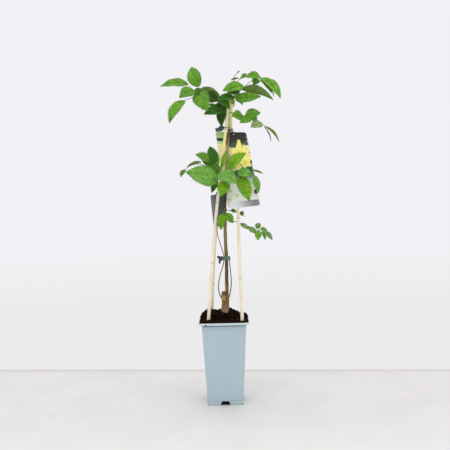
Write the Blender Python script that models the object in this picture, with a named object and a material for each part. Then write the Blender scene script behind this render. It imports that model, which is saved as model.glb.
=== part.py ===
"""Potted trumpet vine: a young climber in a tall square nursery pot, tied to three bamboo canes.

Every length below is in millimetres, and MM turns it to metres when a mesh is made. The origin is
on the ground under the middle of the pot, +Z is up and the front of the plant looks along -Y.
"""
import math
import random

import bmesh
import bpy
import numpy as np

MM = 0.001
FIT = 0.35                      # gap left between two touching pieces
SEED = 9

# Pot: half widths of its square rings, and heights
POT_HEIGHT = 231.0
RIM_HALF = 71.4
NECK_HALF = 62.8                # outside of the wall, just under the lip
FOOT_HALF = 50.0
WALL = 1.6
FLOOR = 2.2
LIP_DROP = 6.0                  # depth of the lip's turned down edge
FOOT_BAND = 11.0                # height of the foot band, which stands a little proud
FOOT_PROUD = 0.7
CORNER_FOOT = 12.0
CORNER_RIM = 15.0
CORNER_LIP = 18.0
CORNER_STEPS = 4                # straight pieces in each rounded corner
CHANNEL_WIDE = 28.0             # drainage channel across the foot, at the ground
CHANNEL_NARROW = 19.0
CHANNEL_HIGH = 10.5
DRAIN_RADIUS = 4.5
DRAIN_OUT = 30.0                # distance of the outer drain holes from the middle

# Soil
SOIL_TOP = 253.0
SOIL_ON_LIP = 2.6               # how far inside the lip's edge the heap ends
SOIL_CRUMB = 1.7                # how far the crumbly top departs from its even form
SOIL_CROWN = 3.0                # fall from the middle to the edge, as a flat curve
SOIL_SHOULDER = 17.0            # further fall, close to the edge
SOIL_RIGHT = 0.010              # how fast the heap falls off to the right, by the square of x
SOIL_FRONT = 0.62               # slope towards the front
SOIL_CORNER = 0.012             # further fall to the right front corner, by the product of both
SOIL_LEAST = 0.9                # least thickness over the lip

# Canes
CANE_RADIUS = 4.7
CANE_SIDES = 10
CANE_KNUCKLE = 0.75             # how far a knuckle stands out
CANE_TOP = 850.0
CANE_FOOT = 150.0
CANE_HOLE_TOP = 340.0
CANES = {
    "cane_front_left": [(-49, -37, 150), (-43, -35, 236), (-26, -29, 431), (-9, -22, 587),
                        (17, -13, 775), (23, -10, 850)],
    "cane_back_left": [(-41, 47, 150), (-35, 42, 254), (-23.5, 26, 429), (-5, 17, 590),
                       (18, 13, 775), (23, 13, 850)],
    "cane_right": [(47, -42, 150), (51, -44, 232), (47.5, -33, 400), (46.5, -20, 543),
                   (41, -2, 650), (32, 11, 775), (35.5, 9, 850)],
}
CANE_KNUCKLES = {"cane_front_left": (212, 395, 566, 745), "cane_back_left": (195, 330, 505, 690),
                 "cane_right": (200, 352, 520, 705)}

# Stem: the path of its centre and its radius at each point
STEM_SIDES = 8
LEADER_STEP = 26.0              # spacing of the rings along the leader
TRUNK = [((4, 0, 196), 7.0), ((4, 0, 236), 11.6), ((4, 0, 254), 11.2), ((5, -1, 272), 10.4),
         ((7, -2, 290), 9.4), ((9, -2, 304), 6.2)]
STUMP = [((5, -1, 268), 8.2), ((3, -4, 284), 8.6), ((1, -6, 299), 6.8), ((1, -7, 309), 5.9)]
LEADER = [((7, -2, 284), 6.0), ((9.5, -2, 304), 5.4), ((10, -3, 343), 5.1), ((10.8, -8, 395), 5.0),
          ((9, -12, 458), 4.8), ((9, -15, 501), 4.7), ((9.5, -20, 558), 4.5), ((13, -24, 629), 4.3),
          ((19, -17, 700), 3.8), ((26, -4, 773), 3.1), ((28.5, -2, 826), 2.6), ((33, -1, 860), 2.2),
          ((38, 0, 886), 1.7)]
SHOOT_LEFT = [((1, -4, 286), 1.9), ((-8, -7, 296), 1.7), ((-14, -8, 318), 1.5), ((-13, -9, 335), 1.5),
              ((-8, -11, 359), 1.4), ((0, -16, 384), 1.4), ((3.5, -17, 404), 1.4),
              ((2, -18, 420), 1.3), ((-6, -15, 448), 1.2), ((-13, -10, 474), 1.1),
              ((-15, -4, 500), 0.9)]
SHOOT_RIGHT = [((9, -3, 284), 1.8), ((17, -5, 297), 1.6), ((23, -5, 330), 1.5), ((22.5, -5, 357), 1.4),
               ((20, -8, 388), 1.3), ((18, -9.5, 408), 1.2)]

# Ties
TIE_MIDDLE_Z = (400.5, 411.5)
TIE_TOP_Z = (776.0, 779.5)
TIE_THICK = 1.5

# Picture label: a slightly twisted card, given by its four corners before they are rounded
LABEL_LOW_LEFT = (19.0, -16.0, 546.0)
LABEL_LOW_RIGHT = (109.0, -46.0, 554.0)
LABEL_HIGH_LEFT = (-14.0, 7.0, 771.0)
LABEL_HIGH_RIGHT = (75.0, -2.0, 766.0)
LABEL_WIDE = 92.5
LABEL_HIGH = 223.5
LABEL_THICK = 0.8
LABEL_CORNER = 7.0
LABEL_HOLE_RADIUS = 1.9
LABEL_HOLE = (7.5, 106.0)       # hole for the wire, across and up from the label's middle
WIRE_RADIUS = 0.9
WIRE_FRONT = [(20.8, -2.0, 771.0), (21.2, -6.5, 772.0), (24.5, -9.3, 773.0), (29.5, -9.3, 772.6)]
WIRE_BACK = [(35.5, 3.6, 772.8), (29.5, 2.2, 773.2), (23.5, 1.0, 773.6), (20.6, -2.0, 774.0)]

# Care card: its strap loops round the left rear cane
CARD_WIDE = 40.0
CARD_HIGH = 92.0
CARD_THICK = 0.8
CARD_CORNER = 4.0
CARD_MIDDLE = (-8.5, 0.0, 544.0)
CARD_ROLL = 5.0
CARD_YAW = -12.0
CARD_STRAP_Z = 604.0

# Leaves
BLADE_THICK = 0.8
STALK_SIDES = 5
LEAF_STALK_RADIUS = 1.35
LEAFLET_STALK_HALF = 0.8
FOLD = math.radians(14.0)       # each half of a leaflet rises this much from its midrib
TOOTH_OUT = 1.07                # width at a tooth's point and in a notch, against the even outline
TOOTH_IN = 0.91
TOOTH_LEAD = 0.035              # how far a tooth's point leans to the tip, against the length
NOTCH_LAG = 0.02

# Each leaf: the path of its stalk, then its leaflets as (base, tip, width, way its face looks, arch).
# Arch is the rise of the midrib as a share of the leaflet's length.
LEAVES = {
    "leaf_top_left": {
        "leaves_stem_at": 866,
        "stalk": [(18, 0, 868), (-1, 1, 870), (-32, -2, 880), (-61, -11, 880), (-77, -23, 864),
                  (-97, -33, 855)],
        "leaflets": [
            ((-58, -6, 899), (-79, 8, 960), 42, (-0.3, -0.92, 0.2), 0.10),
            ((-89, 0, 907), (-171, 18, 906), 38, (0.0, -0.8, 0.6), 0.13),
            ((-69, -14, 884), (-111, -40, 860), 43, (-0.1, -0.92, 0.35), 0.10),
            ((-98, -34, 854), (-140, -50, 787), 42, (-0.5, -0.85, 0.3), 0.09),
            ((-61, -24, 876), (-32, -62, 816), 50, (-0.2, -0.92, 0.35), 0.06),
            ((12, -16, 834), (-43, -46, 812), 34, (-0.05, -0.97, 0.2), 0.04),
            ((6, -20, 850), (1, -32, 806), 36, (0.1, -0.95, 0.2), 0.05),
            ((-53, 4, 896), (6, 12, 866), 31, (0.05, -0.9, 0.4), 0.08),
            ((-42, -10, 874), (-3, -24, 852), 44, (0.1, -0.95, 0.25), 0.05),
            ((-4, -18, 863), (28, -32, 828), 28, (0.1, -0.9, 0.45), 0.05),
            ((-56, -14, 893), (-63, -34, 867), 22, (0.0, -0.95, 0.3), 0.05),
        ],
    },
    "leaf_top_right": {
        "leaves_stem_at": 866,
        "stalk": [(47, -5, 869), (56, -7, 880), (70, -8, 893), (95, -6, 914), (121, -3, 924)],
        "leaflets": [
            ((122, -6, 921), (172, -42, 854), 38, (0.35, -0.85, 0.4), 0.06),
            ((119, 5, 925), (79, 14, 928), 31, (0.0, -0.85, 0.5), 0.18),
            ((64, -13, 887), (150, -48, 845), 37, (0.15, 0.5, 0.85), 0.12),
            ((46, -11, 859), (117, -38, 858), 33, (0.05, -0.97, 0.2), 0.02),
            ((70, -14, 896), (10, -30, 878), 37, (-0.05, -0.9, 0.4), 0.06),
            ((58, -14, 883), (20, -36, 868), 24, (0.0, -0.95, 0.2), 0.08),
            ((42, -12, 864), (0, -36, 855), 28, (-0.1, -0.9, 0.4), 0.08),
            ((119, -9, 918), (147, -32, 870), 28, (0.3, -0.9, 0.3), 0.10),
            ((111, -7, 918), (98, -18, 898), 24, (0.0, -0.95, 0.3), 0.05),
            ((122, 6, 916), (158, 16, 872), 26, (0.6, -0.5, 0.6), 0.12),
        ],
    },
    "leaf_under_left": {
        "leaves_stem_at": 822,
        "stalk": [(14, 7, 836), (0, 14, 848), (-16, 20, 852)],
        "leaflets": [
            ((9, -8, 838), (5, -29, 779), 30, (-0.2, -0.97, 0.1), 0.06),
            ((-16, 20, 852), (-52, 44, 842), 34, (-0.2, -0.3, 0.9), 0.10),
            ((-6, 20, 852), (-22, 62, 846), 32, (-0.1, 0.2, 0.95), 0.12),
        ],
    },
    "leaf_under_right": {
        "leaves_stem_at": 824,
        "stalk": [(46, -9, 818), (60, -10, 814), (88, -9, 807), (110, -7, 798), (127, -5, 784)],
        "leaflets": [
            ((66, -14, 808), (35, -34, 807), 36, (-0.1, -0.95, 0.3), 0.04),
            ((73, -9, 812), (116, -14, 819), 34, (0.0, -0.95, 0.3), 0.05),
            ((86, -14, 805), (57, -38, 786), 30, (-0.1, -0.95, 0.25), 0.05),
            ((120, -10, 790), (87, -32, 775), 30, (-0.1, -0.95, 0.3), 0.05),
            ((128, -6, 782), (168, -13, 736), 13, (0.5, -0.75, 0.45), 0.10),
            ((127, -6, 780), (144, -13, 736), 9, (0.8, -0.5, 0.3), 0.08),
            ((92, -4, 806), (104, 34, 800), 26, (0.1, 0.3, 0.9), 0.12),
        ],
    },
    "leaf_top_back": {
        "leaves_stem_at": 874,
        "stalk": [(36, 18, 881), (34, 38, 884), (30, 56, 880)],
        "leaflets": [
            ((40, 18, 881), (74, 44, 868), 28, (0.2, 0.1, 0.95), 0.14),
            ((30, 22, 882), (4, 48, 868), 28, (-0.2, 0.1, 0.95), 0.14),
            ((39, 40, 883), (68, 74, 862), 30, (0.2, 0.3, 0.9), 0.14),
            ((28, 42, 884), (8, 80, 860), 30, (-0.2, 0.3, 0.9), 0.14),
            ((30, 57, 880), (34, 98, 848), 32, (0.0, 0.6, 0.8), 0.12),
        ],
    },
    "leaf_mid_left_up": {
        "leaves_stem_at": 648,
        "stalk": [(2, -35, 657), (-10, -39, 665), (-22, -42, 674)],
        "leaflets": [
            ((-16, -43, 673), (-30, -32, 723), 33, (-0.3, -0.95, 0.2), 0.06),
            ((-31, -46, 679), (-69, -58, 697), 30, (0.0, -0.85, 0.5), 0.10),
            ((-14, -38, 664), (-51, -44, 681), 30, (0.0, -0.85, 0.5), 0.08),
            ((-7, -40, 666), (-9, -32, 709), 11, (0.3, -0.95, 0.1), 0.05),
            ((1, -37, 662), (17, -34, 709), 15, (0.4, -0.9, 0.1), 0.05),
        ],
    },
    "leaf_mid_left": {
        "leaves_stem_at": 630,
        "stalk": [(3, -42, 632), (-8, -53, 640), (-35, -56, 660), (-58, -61, 671), (-84, -69, 665),
                  (-94, -73, 658)],
        "leaflets": [
            ((-9, -60, 624), (-94, -88, 647), 60, (-0.1, -0.95, 0.3), 0.06),
            ((-96, -75, 655), (-108, -87, 634), 17, (-0.4, -0.85, 0.3), 0.08),
            ((-54, -64, 677), (-92, -73, 662), 12, (0.2, -0.8, 0.6), 0.10),
            ((-10, -54, 640), (-15, -51, 675), 26, (0.0, -1.0, 0.1), 0.05),
        ],
    },
    "leaf_mid_front": {
        "leaves_stem_at": 620,
        "stalk": [(13, -44, 630), (9, -59, 637)],
        "leaflets": [
            ((-2, -63, 645), (40, -93, 613), 54, (0.1, -0.85, 0.5), 0.08),
            ((13, -62, 622), (-1, -76, 581), 36, (-0.1, -1.0, 0.2), 0.06),
        ],
    },
    "leaf_mid_right": {
        "leaves_stem_at": 650,
        "stalk": [(34, -42, 651), (56, -52, 646), (84, -53, 643), (94, -52, 640)],
        "leaflets": [
            ((22, -43, 658), (71, -62, 698), 37, (-0.3, -0.9, 0.4), 0.08),
            ((52, -57, 637), (77, -71, 566), 38, (0.1, -1.0, 0.15), 0.06),
            ((47, -56, 646), (88, -69, 637), 31, (0.0, -0.9, 0.4), 0.10),
            ((94, -54, 636), (103, -62, 588), 20, (0.2, -1.0, 0.1), 0.06),
            ((89, -51, 652), (117, -58, 641), 8, (0.1, -0.85, 0.5), 0.05),
        ],
    },
    "leaf_mid_back": {
        "leaves_stem_at": 618,
        "stalk": [(2, -10, 624), (-2, 2, 630), (-10, 14, 637), (-24, 32, 640)],
        "leaflets": [
            ((-10, 12, 642), (-52, 32, 662), 34, (-0.2, -0.5, 0.85), 0.12),
            ((-16, 18, 635), (-58, 24, 624), 30, (-0.3, -0.5, 0.8), 0.10),
            ((-25, 34, 640), (-56, 80, 630), 38, (-0.2, 0.3, 0.9), 0.12),
            ((-12, 28, 642), (6, 68, 656), 32, (0.2, 0.1, 0.95), 0.14),
            ((-18, 34, 636), (-8, 82, 616), 34, (0.1, 0.4, 0.9), 0.12),
            ((-8, 8, 628), (-27, -4, 594), 24, (-0.5, -0.8, 0.3), 0.06),
        ],
    },
    "leaf_low_front": {
        "leaves_stem_at": 548,
        "stalk": [(8, -31, 543), (6, -34, 538)],
        "leaflets": [
            ((4, -35, 533), (-3, -38, 488), 24, (-0.1, -1.0, 0.2), 0.06),
            ((12, -33, 534), (31, -26, 507), 24, (0.2, -0.95, 0.3), 0.06),
        ],
    },
    "leaf_low_right": {
        "leaves_stem_at": 524,
        "stalk": [(32, -9, 512), (48, -7, 507), (64, -8, 500), (94, -10, 489), (110, -11, 485),
                  (120, -12, 482)],
        "leaflets": [
            ((53, -9, 504), (78, -14, 487), 15, (0.1, -0.9, 0.45), 0.06),
            ((74, -12, 493), (98, -18, 475), 18, (0.1, -0.9, 0.45), 0.06),
            ((100, -10, 489), (107, -6, 505), 18, (-0.2, -0.95, 0.2), 0.05),
            ((104, -14, 484), (101, -24, 456), 20, (0.0, -1.0, 0.2), 0.05),
            ((114, -13, 482), (122, -24, 457), 12, (0.4, -0.9, 0.2), 0.05),
            ((120, -12, 481), (142, -20, 456), 16, (0.2, -0.9, 0.4), 0.05),
            ((110, -7, 488), (131, 2, 479), 18, (0.2, -0.7, 0.7), 0.08),
        ],
    },
    "leaf_low_back": {
        "leaves_stem_at": 544,
        "stalk": [(22, -8, 542), (34, -7, 539), (46, -5, 535), (66, -3, 524)],
        "leaflets": [
            ((39, -9, 538), (26, -12, 543), 13, (0.0, -0.9, 0.4), 0.05),
            ((52, -6, 537), (62, -8, 528), 16, (0.1, -0.9, 0.4), 0.05),
            ((40, -2, 542), (44, 22, 536), 14, (0.1, 0.3, 0.9), 0.08),
        ],
    },
    "tip": {
        "stalk": [(38.5, 0.5, 890), (43, 5, 901), (50, 9, 912), (57, 10, 920), (62, 10, 926)],
        "leaflets": [
            ((56, 7, 925), (34, 4, 919), 9, (0.0, -0.85, 0.5), 0.06),
            ((60, 9, 923), (81, 6, 928), 9, (0.0, -0.85, 0.5), 0.10),
            ((64, 10, 929), (83, 10, 936), 12, (0.0, -0.9, 0.4), 0.10),
        ],
    },
}
BUD_STALK = [(50, 10, 914), (41, 12, 921), (45, 11, 932), (59, 8, 946)]
BUD_STALK_RADIUS = 0.75
BUD_RADIUS = 1.9

COLOURS = {
    "pot_plastic": (0.40, 0.50, 0.57), "peat": (0.022, 0.014, 0.009), "bamboo": (0.80, 0.70, 0.46),
    "bark": (0.20, 0.14, 0.06), "leaf": (0.10, 0.27, 0.04), "soft_tie": (0.09, 0.14, 0.10),
    "wire": (0.02, 0.02, 0.02), "label_print": (0.75, 0.60, 0.12), "card_back": (0.06, 0.08, 0.08),
}
ROUGHNESS = {"pot_plastic": 0.45, "label_print": 0.3, "card_back": 0.35, "leaf": 0.5}
SHARP_ABOVE = math.radians(50.0)        # edges that turn more than this stay sharp


# ---------------------------------------------------------------- meshes and objects

def finish(name):
    """A Principled material of one of the object's finishes."""
    material = bpy.data.materials.get(name) or bpy.data.materials.new(name)
    material.use_nodes = True
    shader = material.node_tree.nodes["Principled BSDF"]
    shader.inputs["Base Color"].default_value = (*COLOURS[name], 1.0)
    shader.inputs["Roughness"].default_value = ROUGHNESS.get(name, 0.8)
    return material


def solid(name, points, faces, slot):
    """An object from points in millimetres and the faces between them."""
    mesh = bpy.data.meshes.new(name)
    mesh.from_pydata([tuple(float(value) * MM for value in point) for point in points], [], faces)
    work = bmesh.new()
    work.from_mesh(mesh)
    bmesh.ops.recalc_face_normals(work, faces=work.faces)
    work.to_mesh(mesh)
    work.free()
    mesh.materials.append(finish(slot))
    thing = bpy.data.objects.new(name, mesh)
    bpy.context.scene.collection.objects.link(thing)
    return thing


def drop_slivers(mesh):
    """Remove the loose slivers that a Boolean can leave beside the one body."""
    work = bmesh.new()
    work.from_mesh(mesh)
    loose = set(work.verts)
    islands = []
    while loose:
        island = {loose.pop()}
        edge_of_search = list(island)
        while edge_of_search:
            vertex = edge_of_search.pop()
            near = {edge.other_vert(vertex) for edge in vertex.link_edges} & loose
            loose -= near
            island |= near
            edge_of_search += near
        islands.append(island)
    islands.sort(key=len)
    bmesh.ops.delete(work, geom=[vertex for island in islands[:-1] for vertex in island], context="VERTS")
    work.to_mesh(mesh)
    work.free()


def combine(name, target, others, operation, solver="EXACT"):
    """Apply one Boolean between the target and a collection of others, which are then removed."""
    group = bpy.data.collections.new(name + "_group")
    bpy.context.scene.collection.children.link(group)
    for thing in others:
        group.objects.link(thing)
    cut = target.modifiers.new(operation.lower(), "BOOLEAN")
    cut.operation = operation
    cut.operand_type = "COLLECTION"
    cut.collection = group
    cut.solver = solver
    graph = bpy.context.evaluated_depsgraph_get()
    mesh = bpy.data.meshes.new_from_object(target.evaluated_get(graph))
    target.modifiers.remove(cut)
    target.data = mesh
    target.name = name
    mesh.name = name
    for thing in others:
        bpy.data.objects.remove(thing)
    bpy.data.collections.remove(group)
    drop_slivers(mesh)
    return target


def split_in_triangles(thing):
    """Split every face of an object into triangles."""
    work = bmesh.new()
    work.from_mesh(thing.data)
    bmesh.ops.triangulate(work, faces=work.faces)
    work.to_mesh(thing.data)
    work.free()


def one_finish(thing, slot):
    """Leave the object with one material slot."""
    thing.data.materials.clear()
    thing.data.materials.append(finish(slot))
    for face in thing.data.polygons:
        face.material_index = 0
    return thing


def loft(rings, closed_ring=False):
    """Points and faces of a skin through rings of equal count, capped at both ends or joined in a loop."""
    count = len(rings[0])
    points = [point for ring in rings for point in ring]
    faces = []
    last = len(rings) if closed_ring else len(rings) - 1
    for level in range(last):
        low = level * count
        high = ((level + 1) % len(rings)) * count
        for side in range(count):
            across = (side + 1) % count
            faces.append((low + side, low + across, high + across, high + side))
    if not closed_ring:
        faces.append(tuple(range(count))[::-1])
        faces.append(tuple(range((len(rings) - 1) * count, len(rings) * count)))
    return points, faces


def smooth_curve(points, step):
    """Points about one step apart on a Catmull-Rom curve through the given ones."""
    given = np.array(points, float)
    padded = np.vstack([2 * given[0] - given[1], given, 2 * given[-1] - given[-2]])
    curve = [given[0]]
    for index in range(len(given) - 1):
        before, start, end, after = padded[index:index + 4]
        pieces = max(1, round(np.linalg.norm((end - start)[:3]) / step))
        for part in range(1, pieces + 1):
            t = part / pieces
            curve.append(0.5 * (2 * start + (end - before) * t
                                + (2 * before - 5 * start + 4 * end - after) * t ** 2
                                + (3 * start - before - 3 * end + after) * t ** 3))
    return np.array(curve)


def tube_skin(centres, radii, sides):
    """A closed round tube along a path, its rings turned as little as possible."""
    centres = np.array(centres, float)
    ways = np.gradient(centres, axis=0)
    ways /= np.linalg.norm(ways, axis=1)[:, None]
    out = np.cross(ways[0], (0.0, 1.0, 0.0))
    if np.linalg.norm(out) < 0.1:
        out = np.cross(ways[0], (1.0, 0.0, 0.0))
    angles = np.arange(sides) * 2 * math.pi / sides
    rings = []
    for centre, way, radius in zip(centres, ways, radii):
        out = out - way * out.dot(way)
        out /= np.linalg.norm(out)
        side = np.cross(way, out)
        rings.append([centre + radius * (math.cos(a) * out + math.sin(a) * side) for a in angles])
    return loft(rings)


def even_path(stations, step):
    """The ((x, y, z), radius) stations that a tapered tube's rings stand at."""
    curve = smooth_curve([(*centre, radius) for centre, radius in stations], step)
    return [(tuple(row[:3]), row[3]) for row in curve]


def tapered_tube(name, stations, sides, slot, step=14.0):
    """A tube through ((x, y, z), radius) stations."""
    path = even_path(stations, step)
    points, faces = tube_skin([s[0] for s in path], [s[1] for s in path], sides)
    return solid(name, points, faces, slot)


def rounded_square(half, corner, z):
    """A ring round a square of the given half width with rounded corners, at height z."""
    ring = []
    inner = half - corner
    for quarter, (sx, sy) in enumerate(((1, 1), (-1, 1), (-1, -1), (1, -1))):
        for step in range(CORNER_STEPS + 1):
            angle = (quarter + step / CORNER_STEPS) * math.pi / 2
            ring.append((sx * inner + corner * math.cos(angle), sy * inner + corner * math.sin(angle), z))
    return ring


def prism(name, outline, start, end, slot):
    """An outline of 3-D points carried from one offset to another."""
    rings = [[tuple(np.add(point, start)) for point in outline],
             [tuple(np.add(point, end)) for point in outline]]
    return solid(name, *loft(rings), slot)


# ---------------------------------------------------------------- pot and soil

def wall_half(z):
    """Half width of the pot's outer wall at height z."""
    return FOOT_HALF + (NECK_HALF - FOOT_HALF) * z / POT_HEIGHT


def wall_corner(z):
    """Corner radius of the pot's outer wall at height z."""
    return CORNER_FOOT + (CORNER_RIM - CORNER_FOOT) * z / POT_HEIGHT


def channel_bars(grow, reach, low):
    """Two crossed bars of the drainage channel's section, grown on each side, to the given reach."""
    bars = []
    high = CHANNEL_HIGH + grow
    lean = (CHANNEL_WIDE - CHANNEL_NARROW) / 2 / CHANNEL_HIGH
    wide, narrow = (CHANNEL_WIDE / 2 + grow - lean * z for z in (low, high))
    for name, turn in (("bar_x", False), ("bar_y", True)):
        outline = [(0, -wide, low), (0, wide, low), (0, narrow, high), (0, -narrow, high)]
        start, end = (-reach, 0, 0), (reach, 0, 0)
        if turn:
            outline = [(y, x, z) for x, y, z in outline]
            start, end = (0, -reach, 0), (0, reach, 0)
        bars.append(prism(name, outline, start, end, "pot_plastic"))
    return bars


def make_pot():
    """Tapered square shell with a turned down lip, a proud foot band and a crossed drainage channel."""
    lip_in = RIM_HALF - WALL
    under = POT_HEIGHT - WALL
    band = wall_half(FOOT_BAND)
    profile = [
        (FOOT_HALF + FOOT_PROUD - 1.0, CORNER_FOOT, 0.0),
        (FOOT_HALF + FOOT_PROUD, CORNER_FOOT, 1.2),
        (band + FOOT_PROUD, CORNER_FOOT, FOOT_BAND - 0.6),
        (band, CORNER_FOOT, FOOT_BAND),
        (wall_half(under), wall_corner(under), under),
        (lip_in, CORNER_LIP - WALL, under),
        (lip_in, CORNER_LIP - WALL, POT_HEIGHT - LIP_DROP),
        (RIM_HALF, CORNER_LIP, POT_HEIGHT - LIP_DROP),
        (RIM_HALF, CORNER_LIP, POT_HEIGHT - 0.6),
        (RIM_HALF - 0.6, CORNER_LIP - 0.6, POT_HEIGHT),
        (wall_half(POT_HEIGHT) - WALL, CORNER_RIM - WALL, POT_HEIGHT),
        (wall_half(FLOOR) - WALL, CORNER_FOOT - WALL, FLOOR),
    ]
    pot = solid("pot", *loft([rounded_square(*level) for level in profile]), "pot_plastic")
    ribs = channel_bars(WALL, wall_half(0) - WALL / 2, 0.5)
    combine("pot", pot, ribs, "UNION")
    cuts = channel_bars(0.0, RIM_HALF, -2.0)
    holes = [(0, 0), (DRAIN_OUT, 0), (-DRAIN_OUT, 0), (0, DRAIN_OUT), (0, -DRAIN_OUT)]
    for x, y in holes:
        ring = [(x + DRAIN_RADIUS * math.cos(a), y + DRAIN_RADIUS * math.sin(a), 0)
                for a in np.arange(8) * math.pi / 4]
        cuts.append(prism("drain", ring, (0, 0, CHANNEL_HIGH - 3), (0, 0, CHANNEL_HIGH + 6), "pot_plastic"))
    combine("pot", pot, cuts, "DIFFERENCE")
    return one_finish(pot, "pot_plastic")


def soil_height(x, y):
    """Height of the soil's even form: a broad heap, steep at its edge, falling to the front and right."""
    edge = max(abs(x), abs(y)) / (RIM_HALF - SOIL_ON_LIP)
    right, ahead = max(x - 12.0, 0.0), max(-y - 2.0, 0.0)
    heap = SOIL_TOP - SOIL_CROWN * edge ** 2 - SOIL_SHOULDER * edge ** 6
    front = SOIL_FRONT * (math.hypot(ahead, 8.0) - 8.0)
    return heap - SOIL_RIGHT * right ** 2 - SOIL_CORNER * right * ahead - front


def make_soil(stem_hole, cane_holes):
    """Peat that fills the pot to a crumbly mound, with a plain hole for each thing that stands in it."""
    draw = random.Random(SEED)
    rings = []
    for z in (FLOOR + FIT, 120.0, POT_HEIGHT + FIT):
        rings.append(rounded_square(wall_half(z) - WALL - FIT, wall_corner(z) - WALL, z))
    rim = rounded_square(RIM_HALF - SOIL_ON_LIP, CORNER_LIP - WALL, POT_HEIGHT + FIT)
    rings.append(rim)
    for share in (0.985, 0.94, 0.87, 0.78, 0.67, 0.54, 0.4, 0.26, 0.12):
        ring = []
        drift = 1.5 * min(share, 1.0 - share)
        for x, y, _ in rim:
            spot = (x * share + draw.uniform(-drift, drift), y * share + draw.uniform(-drift, drift))
            crumb = SOIL_CRUMB * min(1.0, 8 * drift)
            height = soil_height(*spot) + draw.uniform(-crumb, crumb)
            ring.append((*spot, max(height, POT_HEIGHT + SOIL_LEAST + draw.uniform(0.0, SOIL_LEAST))))
        rings.append(ring)
    soil = solid("soil", *loft(rings), "peat")
    split_in_triangles(soil)
    bars = channel_bars(WALL + FIT, RIM_HALF, -1.0)
    combine("soil", soil, [*bars, stem_hole, *cane_holes], "DIFFERENCE")
    return one_finish(soil, "peat")


# ---------------------------------------------------------------- canes and stem

def cane_stations(name, grow=0.0):
    """Stations along a cane, with three close together at each knuckle."""
    path = smooth_curve(CANES[name], 4.0)
    heights = path[:, 2]
    levels = {CANE_FOOT: 0.0, CANE_TOP: 0.0}
    for z in np.linspace(CANE_FOOT, CANE_TOP, 9)[1:-1]:
        levels[float(z)] = 0.0
    for knuckle in CANE_KNUCKLES[name]:
        levels.update({knuckle - 3.0: 0.0, knuckle: CANE_KNUCKLE, knuckle + 3.0: 0.0})
    stations = []
    for z in sorted(levels):
        centre = [float(np.interp(z, heights, path[:, axis])) for axis in (0, 1)]
        taper = 0.5 * (z - CANE_FOOT) / (CANE_TOP - CANE_FOOT)
        stations.append(((*centre, z), CANE_RADIUS - taper + levels[z] + grow))
    return stations


def make_cane(name):
    """A bamboo cane with a raised knuckle where each leaf once grew."""
    stations = cane_stations(name)
    points, faces = tube_skin([s[0] for s in stations], [s[1] for s in stations], CANE_SIDES)
    return solid(name, points, faces, "bamboo")


def make_cane_hole(name):
    """A cutter for the hole that a cane stands in."""
    inside = [s for s in cane_stations(name, FIT) if s[0][2] < CANE_HOLE_TOP]
    first, radius = inside[0]
    inside[0] = ((first[0], first[1], first[2] - FIT), radius)
    points, faces = tube_skin([s[0] for s in inside], [s[1] for s in inside], CANE_SIDES)
    return solid(name + "_hole", points, faces, "peat")


def make_stem():
    """Trunk with its pruned stump, the leader and two thin side shoots, grown as one piece."""
    trunk = tapered_tube("stem", TRUNK, STEM_SIDES, "bark", 10.0)
    limbs = [tapered_tube("stump", STUMP, STEM_SIDES, "bark", 8.0),
             tapered_tube("leader", LEADER, STEM_SIDES, "bark", LEADER_STEP),
             tapered_tube("shoot_left", SHOOT_LEFT, 5, "bark", 14.0),
             tapered_tube("shoot_right", SHOOT_RIGHT, 5, "bark", 16.0)]
    return one_finish(combine("stem", trunk, limbs, "UNION"), "bark")


def make_stem_hole():
    """A cutter for the hole round the root collar."""
    stations = [(centre, radius + FIT) for centre, radius in TRUNK[:4]]
    (x, y, z), radius = stations[0]
    stations[0] = ((x, y, z - FIT), radius)
    return tapered_tube("stem_hole", stations, STEM_SIDES, "peat", 10.0)


# ---------------------------------------------------------------- ties, label and card

def hull(points):
    """Convex hull of flat points, anticlockwise."""
    points = sorted(set(points))

    def chain(sequence):
        kept = []
        for point in sequence:
            while len(kept) > 1:
                (ax, ay), (bx, by) = kept[-2], kept[-1]
                if (bx - ax) * (point[1] - ay) - (by - ay) * (point[0] - ax) > 1e-9:
                    break
                kept.pop()
            kept.append(point)
        return kept[:-1]
    return chain(points) + chain(points[::-1])


def band_skin(circles, z_range, gap, thick, sides=10):
    """A flat band drawn tight round upright round things, as an inner and an outer loop."""
    def loop(grow):
        spots = []
        for x, y, radius in circles:
            for side in range(sides):
                angle = (side + 0.5) * 2 * math.pi / sides
                reach = (radius + grow) / math.cos(math.pi / sides)
                spots.append((round(x + reach * math.cos(angle), 4), round(y + reach * math.sin(angle), 4)))
        return hull(spots)
    inner, outer = loop(gap), loop(gap + thick)
    low, high = z_range
    rings = [[(x, y, low) for x, y in inner], [(x, y, low) for x, y in outer],
             [(x, y, high) for x, y in outer], [(x, y, high) for x, y in inner]]
    return loft(rings, closed_ring=True)


def strip(name, path, width, thick, facing, slot):
    """A flat strap of rectangular section along a path, its broad side looking the given way."""
    centres = smooth_curve(path, 5.0)
    ways = np.gradient(centres, axis=0)
    rings = []
    for centre, way in zip(centres, ways):
        way = way / np.linalg.norm(way)
        side = np.cross(way, facing)
        side /= np.linalg.norm(side)
        face = np.cross(side, way)
        rings.append([centre + side * width / 2 * a + face * thick / 2 * b
                      for a, b in ((1, 1), (-1, 1), (-1, -1), (1, -1))])
    return solid(name, *loft(rings), slot)


def knot(name, centre, radii, slot):
    """A small egg-shaped lump."""
    work = bmesh.new()
    bmesh.ops.create_icosphere(work, subdivisions=1, radius=1.0)
    points = [tuple(np.add(centre, np.multiply(vertex.co, radii))) for vertex in work.verts]
    faces = [tuple(vertex.index for vertex in face.verts) for face in work.faces]
    work.free()
    return solid(name, points, faces, slot)


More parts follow.
